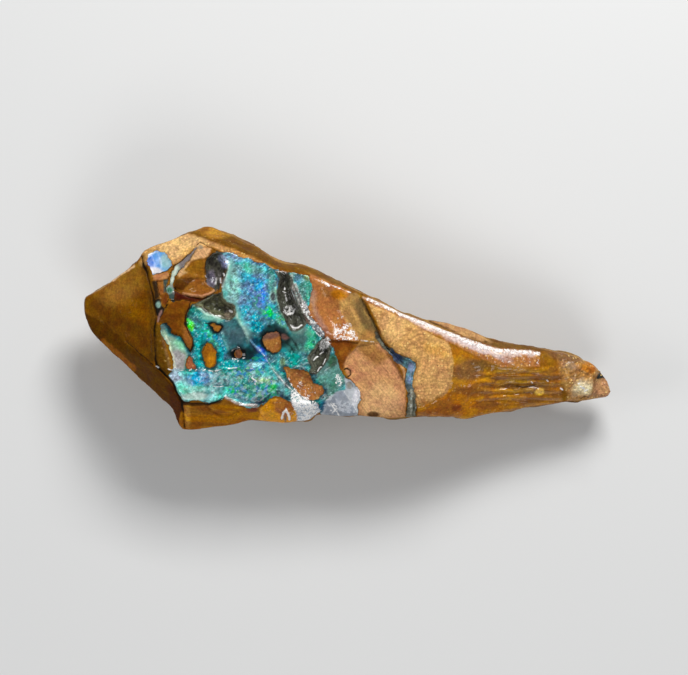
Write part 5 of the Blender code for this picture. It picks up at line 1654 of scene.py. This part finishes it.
@dataclass(frozen=True)
class StoneGrain:
    """The ironstone's grain: calm mottling, with grit, brushed lines and flowing rust where they are.

    Attributes:
        mottle: breadth of the mottling, in mm.
        speck: breadth of a grain of grit, in mm.
        fine: waves of the fine mottling to the mm.
        finest: waves of the finest mottling to the mm.
        brushed: turn of the brushed lines in degrees, then their length and spacing in mm.
        drawn: the same for the lines drawn along the stone.
        flow: the same for the flowing rust.
        gold: the brightest grains, painted as golden glints.
        pit: the dark pits among them.
    """

    mottle: float = 1.1
    speck: float = 0.28
    fine: float = 3.4
    finest: float = 6.5
    brushed: tuple[float, float, float] = (-51.0, 2.0, 0.15)
    drawn: tuple[float, float, float] = (-4.0, 1.8, 0.16)
    flow: tuple[float, float, float] = (-5.0, 4.6, 1.3)
    gold: Colour = (0.9, 0.62, 0.22, 1)
    pit: Colour = (0.05, 0.02, 0.008, 1)

    def group(self) -> bpy.types.NodeTree:
        """Builds the effect.

        Returns:
            The node group, with inputs Vector, Colour, Grit, Brushed, Drawn and Flowing, and outputs
            Colour and Height.
        """
        inputs = {"Colour": "Color"} | {quality.value.capitalize(): "Float" for quality in STONE_QUALITIES}
        n = Effect("stone_grain", inputs, {"Colour": "Color", "Height": "Float"})
        vector, colour, grit, brushed, drawn, flowing = n.given
        broad = n.noise(vector, 1 / self.mottle, 4.0, 0.6)
        fine = n.noise(vector, self.fine, 3.0, 0.6)
        finest = n.noise(vector, self.finest, 2.0)
        away, pick = n.cells(vector, self.speck)

        gritty = n.math("MULTIPLY", n.blend(pick[0], 0.76, 1.22), n.span(away, 0.1, 0.7, 1.1, 0.86))
        bright = n.math(
            "MULTIPLY", n.span(broad, 0.3, 0.7, 0.88, 1.12), n.span(fine, 0.3, 0.7, 0.8, 1.2),
            n.span(finest, 0.35, 0.65, 0.88, 1.12), n.blend(grit, 1.0, gritty),
        )
        for amount, run in ((brushed, self.brushed), (drawn, self.drawn)):
            lines = n.span(n.lines(vector, *run, 2.0), 0.32, 0.68, 0.86, 1.12)
            bright = n.math("MULTIPLY", bright, n.blend(amount, 1.0, lines))
        toned = n.tone(colour, n.span(broad, 0.3, 0.7, 0.49, 0.508), 1.0, bright)

        flow = n.lines(vector, *self.flow, 5.0)
        rust = n.tone(
            toned, n.span(flow, 0.35, 0.65, 0.484, 0.506), n.span(flow, 0.4, 0.65, 0.95, 1.12),
            n.span(flow, 0.34, 0.66, 0.5, 1.6),
        )
        shown = n.mix(flowing, toned, rust)
        # golden specks on the grit: painted glints
        gold = n.math("MULTIPLY", n.span(pick[1], 0.88, 0.92), n.span(away, 0.5, 0.3), grit, 0.7)
        shown = n.mix(gold, shown, self.gold)
        pit = n.math("MULTIPLY", n.span(pick[2], 0.9, 0.93), n.span(away, 0.42, 0.25))
        shown = n.mix(n.math("MULTIPLY", pit, n.span(grit, 0.0, 1.0, 0.22, 0.55)), shown, self.pit)

        height = n.math("ADD", n.math("MULTIPLY", fine, 0.6), n.math("MULTIPLY", broad, 0.4))
        n.give("Colour", shown)
        n.give("Height", n.math("ADD", height, n.math("MULTIPLY", away, grit, -0.35)))
        return n.tree


@dataclass(frozen=True)
class SpeckleAndGlint:
    """White speckle in worm-like strokes, mostly painted glints; the more of it, the denser.

    Attributes:
        scale: waves of the strokes to the mm.
        widest: how wide the strokes are where there is most, in the noise's own measure.
        breaks: waves of the gaps to the mm.
    """

    scale: float = 3.4
    widest: float = 0.08
    breaks: float = 2.6

    def group(self) -> bpy.types.NodeTree:
        """Builds the effect.

        Returns:
            The node group, with inputs Vector and Amount and output Mask.
        """
        n = Effect("speckle_and_glint_group", {"Amount": "Float"}, {"Mask": "Float"})
        vector, amount = n.given
        worm = n.math("SUBTRACT", n.noise(vector, self.scale, 4.0, 0.6, 0.8), 0.5)
        off_line = n.add("Math", {0: worm}, operation="ABSOLUTE").outputs[0]
        limit = n.math("MULTIPLY", amount, self.widest)
        on_line = n.span(n.math("SUBTRACT", off_line, limit), 0.008, -0.008)
        kept = n.math("ADD", n.noise(vector, self.breaks, 2.0), n.blend(amount, -0.2, 0.16))
        kept = n.span(kept, 0.46, 0.54)
        n.give("Mask", n.math("MULTIPLY", on_line, kept, n.span(amount, 0.02, 0.1)))
        return n.tree


@dataclass(frozen=True)
class BoulderOpalFinish:
    """The stone's one material: ironstone, opal and smoky potch, told apart by the stored masks.

    Attributes:
        crack: colour of the cracks, of the painted shade along some grooves, and of the opal's outline.
        glint: colour of the painted strokes of light and of the white speckle of painted glints.
        coat_roughness: roughness of the clear coat.
        opal_ior: how strongly the opal bends light.
        specular_level: strength of the reflection under the coat.
        wobble: how far the outlines waver, in mm.
        bump: how deep the finest relief is, in metres.
        bands: the sides' layers, as places on a ramp and colours.
    """

    crack: Colour = (0.011, 0.007, 0.004, 1)
    glint: Colour = (0.93, 0.91, 0.88, 1)
    coat_roughness: float = 0.1
    opal_ior: float = 1.45
    specular_level: float = 0.03
    wobble: float = 0.16
    bump: float = 0.00012
    bands: tuple[tuple[float, Colour], ...] = (
        (0.3, (0.05, 0.022, 0.008, 1)), (0.44, (0.17, 0.08, 0.018, 1)), (0.55, (0.33, 0.17, 0.035, 1)),
        (0.68, (0.42, 0.25, 0.09, 1)),
    )

    def material(self) -> bpy.types.Material:
        """Builds the material.

        Returns:
            The material, with one Principled BSDF.
        """
        material = bpy.data.materials.new("boulder_opal_finish")
        material.use_nodes = True
        n = Nodes(material.node_tree)
        n.tree.nodes.clear()
        place = n.add("TexCoord").outputs["Object"]
        vector = n.add("VectorMath", {0: place, 3: 1 / MM}, operation="SCALE").outputs[0]
        wobble = n.blend(n.noise(vector, 3.2, 3.0), -self.wobble, self.wobble)
        amount = {quality: n.attribute(quality.value) for quality in Quality}

        stone = {"Vector": vector, "Colour": self._sides(n, vector, n.attribute("ironstone_colour", "Color"))}
        stone |= {quality.value.capitalize(): amount[quality] for quality in STONE_QUALITIES}
        grain = n.add("Group", stone, node_tree=StoneGrain().group())
        tinted = {"Vector": vector, "Colour": n.attribute("opal_colour", "Color")}
        lively = tinted | {"Vivid": amount[Quality.VIVID], "Calm": amount[Quality.CALM]}
        play = n.add("Group", lively, node_tree=PlayOfColour().group())
        potch = n.add("Group", tinted, node_tree=SmokyPotch().group())
        # white speckle, mostly painted glints
        crush = {"Vector": vector, "Amount": amount[Quality.SPECKLE_AND_GLINT]}
        speckle_and_glint_node = n.add("Group", crush, node_tree=SpeckleAndGlint().group())

        depth = n.math("ADD", n.attribute("opal_depth"), wobble)
        opal = n.span(depth, -0.03, 0.03)
        smoke = n.span(n.math("ADD", n.attribute("smoke_depth"), wobble), -0.12, -0.02)
        outline = n.math("MULTIPLY", n.span(depth, -0.14, -0.03), n.span(depth, 0.05, -0.01))
        # dark lines of the cracks, with the painted shade along some grooves
        crack = n.span(n.math("ADD", n.attribute("crack"), n.math("MULTIPLY", wobble, 1.3)), 0.2, 0.75)
        # painted highlights: the strokes of light and the white speckle, mixed into the colour below
        stroke = n.math("ADD", n.attribute("glint"), n.math("MULTIPLY", wobble, 0.55))
        white = n.math("MAXIMUM", n.span(stroke, -0.045, 0.04), speckle_and_glint_node.outputs["Mask"])

        colour = n.mix(smoke, play.outputs["Colour"], potch.outputs["Colour"])
        colour = n.mix(opal, grain.outputs["Colour"], colour)
        for share, strength, shade in (
            (outline, 0.4, self.crack), (crack, 0.95, self.crack), (white, 0.94, self.glint),
        ):
            colour = n.mix(n.math("MULTIPLY", share, strength), colour, shade)

        glassy = n.math("MAXIMUM", opal, smoke)
        smooth = n.math("MAXIMUM", glassy, n.math("MULTIPLY", amount[Quality.POLISH], 0.8))
        roughness = n.blend(smooth, n.span(grain.outputs["Height"], 0.3, 0.7, 0.42, 0.6), 0.24)
        roughness = n.blend(crack, roughness, 0.7)
        coat = n.math("MULTIPLY", n.blend(smooth, 0.02, 0.65), n.blend(crack, 1.0, 0.1))

        rise = n.blend(glassy, grain.outputs["Height"], n.math("MULTIPLY", wobble, 1.4))
        rise = n.math("ADD", rise, n.math("MULTIPLY", white, 0.4))
        bump = n.add("Bump", {"Height": rise, "Strength": 0.5, "Distance": self.bump})
        shader = n.add("BsdfPrincipled", {
            "Base Color": colour, "Roughness": roughness, "Coat Weight": coat, "Normal": bump.outputs[0],
            "Coat Roughness": self.coat_roughness, "IOR": self.opal_ior,
            "Specular IOR Level": self.specular_level,
        })
        end = n.add("OutputMaterial", {"Surface": shader.outputs[0]})
        end.is_active_output = True
        return material

    def _sides(self, n: Nodes, vector: Socket, face: Socket) -> Socket:
        """The ironstone's colour, with banded brown rock on the sides.

        Args:
            n: the material's nodes.
            vector: the place in mm.
            face: the face's own colour.

        Returns:
            The colour's output.
        """
        drawn = n.add("Mapping", {"Vector": vector, "Scale": (0.18, 0.18, 0.75)}).outputs[0]
        ramp = n.add("ValToRGB", {"Fac": n.noise(drawn, 1.0, 5.0, 0.6)})
        elements = ramp.color_ramp.elements
        while len(elements) < len(self.bands):
            elements.new(0.5)
        for element, (position, colour) in zip(elements, self.bands):
            element.position = position
            element.color = colour
        return n.mix(n.span(n.attribute("side"), 0.35, 0.95), face, ramp.outputs[0])


# ---------------------------------------------------------------------------------------------------
# The studio


@dataclass
class Studio:
    """A camera straight above the face, soft boxes round it, and a pale floor.

    The floor's size is in metres, and all other lengths are in mm.
    """

    frame_middle: tuple[float, float] = (-0.37, -1.05)
    frame_width: float = 78.1
    focal: float = 250.0
    sensor: float = 36.0
    mid_height: float = 7.5
    floor_size: float = 1.2
    floor_colour: Colour = (0.66, 0.66, 0.65, 1)
    sky: Colour = (0.9, 0.93, 1.0, 1)
    sky_strength: float = 0.2

    def build(self) -> None:
        """Sets up the camera, the lights, the floor and the surroundings."""
        self._camera()
        self._floor()
        self._light("key", (70, 215, 205), (150, 80), 0.95)
        self._light("fill", (60, -230, 210), (160, 110), 0.3)
        self._light("rim", (-260, -20, 170), (110, 90), 0.2)
        world = bpy.data.worlds.new("studio")
        world.use_nodes = True
        background = world.node_tree.nodes["Background"]
        background.inputs["Color"].default_value = self.sky
        background.inputs["Strength"].default_value = self.sky_strength
        bpy.context.scene.world = world
        bpy.context.scene.view_settings.view_transform = "Standard"

    def _camera(self) -> None:
        """Places the camera over the middle of the frame."""
        data = bpy.data.cameras.new("camera")
        data.lens = self.focal
        data.sensor_width = self.sensor
        data.clip_start = 0.01
        data.clip_end = 10.0
        camera = bpy.data.objects.new("camera", data)
        height = self.mid_height + self.focal / self.sensor * self.frame_width
        camera.location = Vector((*self.frame_middle, height)) * MM
        bpy.context.scene.collection.objects.link(camera)
        bpy.context.scene.camera = camera

    def _floor(self) -> None:
        """Lays the floor under the stone."""
        bpy.ops.object.select_all(action="DESELECT")
        bpy.ops.mesh.primitive_plane_add(size=self.floor_size, location=(0, 0, 0))
        floor = bpy.context.object
        floor.name = "floor"
        material = bpy.data.materials.new("floor_finish")
        material.use_nodes = True
        shader = material.node_tree.nodes["Principled BSDF"]
        shader.inputs["Base Color"].default_value = self.floor_colour
        shader.inputs["Roughness"].default_value = 0.9
        floor.data.materials.append(material)

    def _light(
        self, name: str, place: tuple[float, float, float], size: tuple[float, float], watts: float
    ) -> None:
        """Hangs a soft box that looks at the stone.

        Args:
            name: its name.
            place: where it hangs, in mm.
            size: its two sides, in mm.
            watts: its power.
        """
        data = bpy.data.lights.new(name, "AREA")
        data.shape = "RECTANGLE"
        data.size = size[0] * MM
        data.size_y = size[1] * MM
        data.energy = watts
        light = bpy.data.objects.new(name, data)
        light.location = Vector(place) * MM
        light.rotation_euler = (-light.location).to_track_quat("-Z", "Y").to_euler()
        bpy.context.scene.collection.objects.link(light)


def main() -> None:
    """Builds the stone's skin, carves it, paints it, and sets the studio round it."""
    logging.basicConfig(level=logging.INFO)
    skin = StoneSkin().build()
    surface = StoneSurface(skin)
    surface.carve()
    surface.paint()
    skin.data.materials.append(BoulderOpalFinish().material())
    bpy.ops.object.select_all(action="DESELECT")
    bpy.context.view_layer.objects.active = skin
    skin.select_set(True)
    bpy.ops.object.shade_smooth()
    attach(skin, "root")
    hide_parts("boulder_opal")
    LOG.info("%s is dressed", skin.name)
    Studio().build()
    LOG.info("the studio is set")


if __name__ == "__main__":
    main()
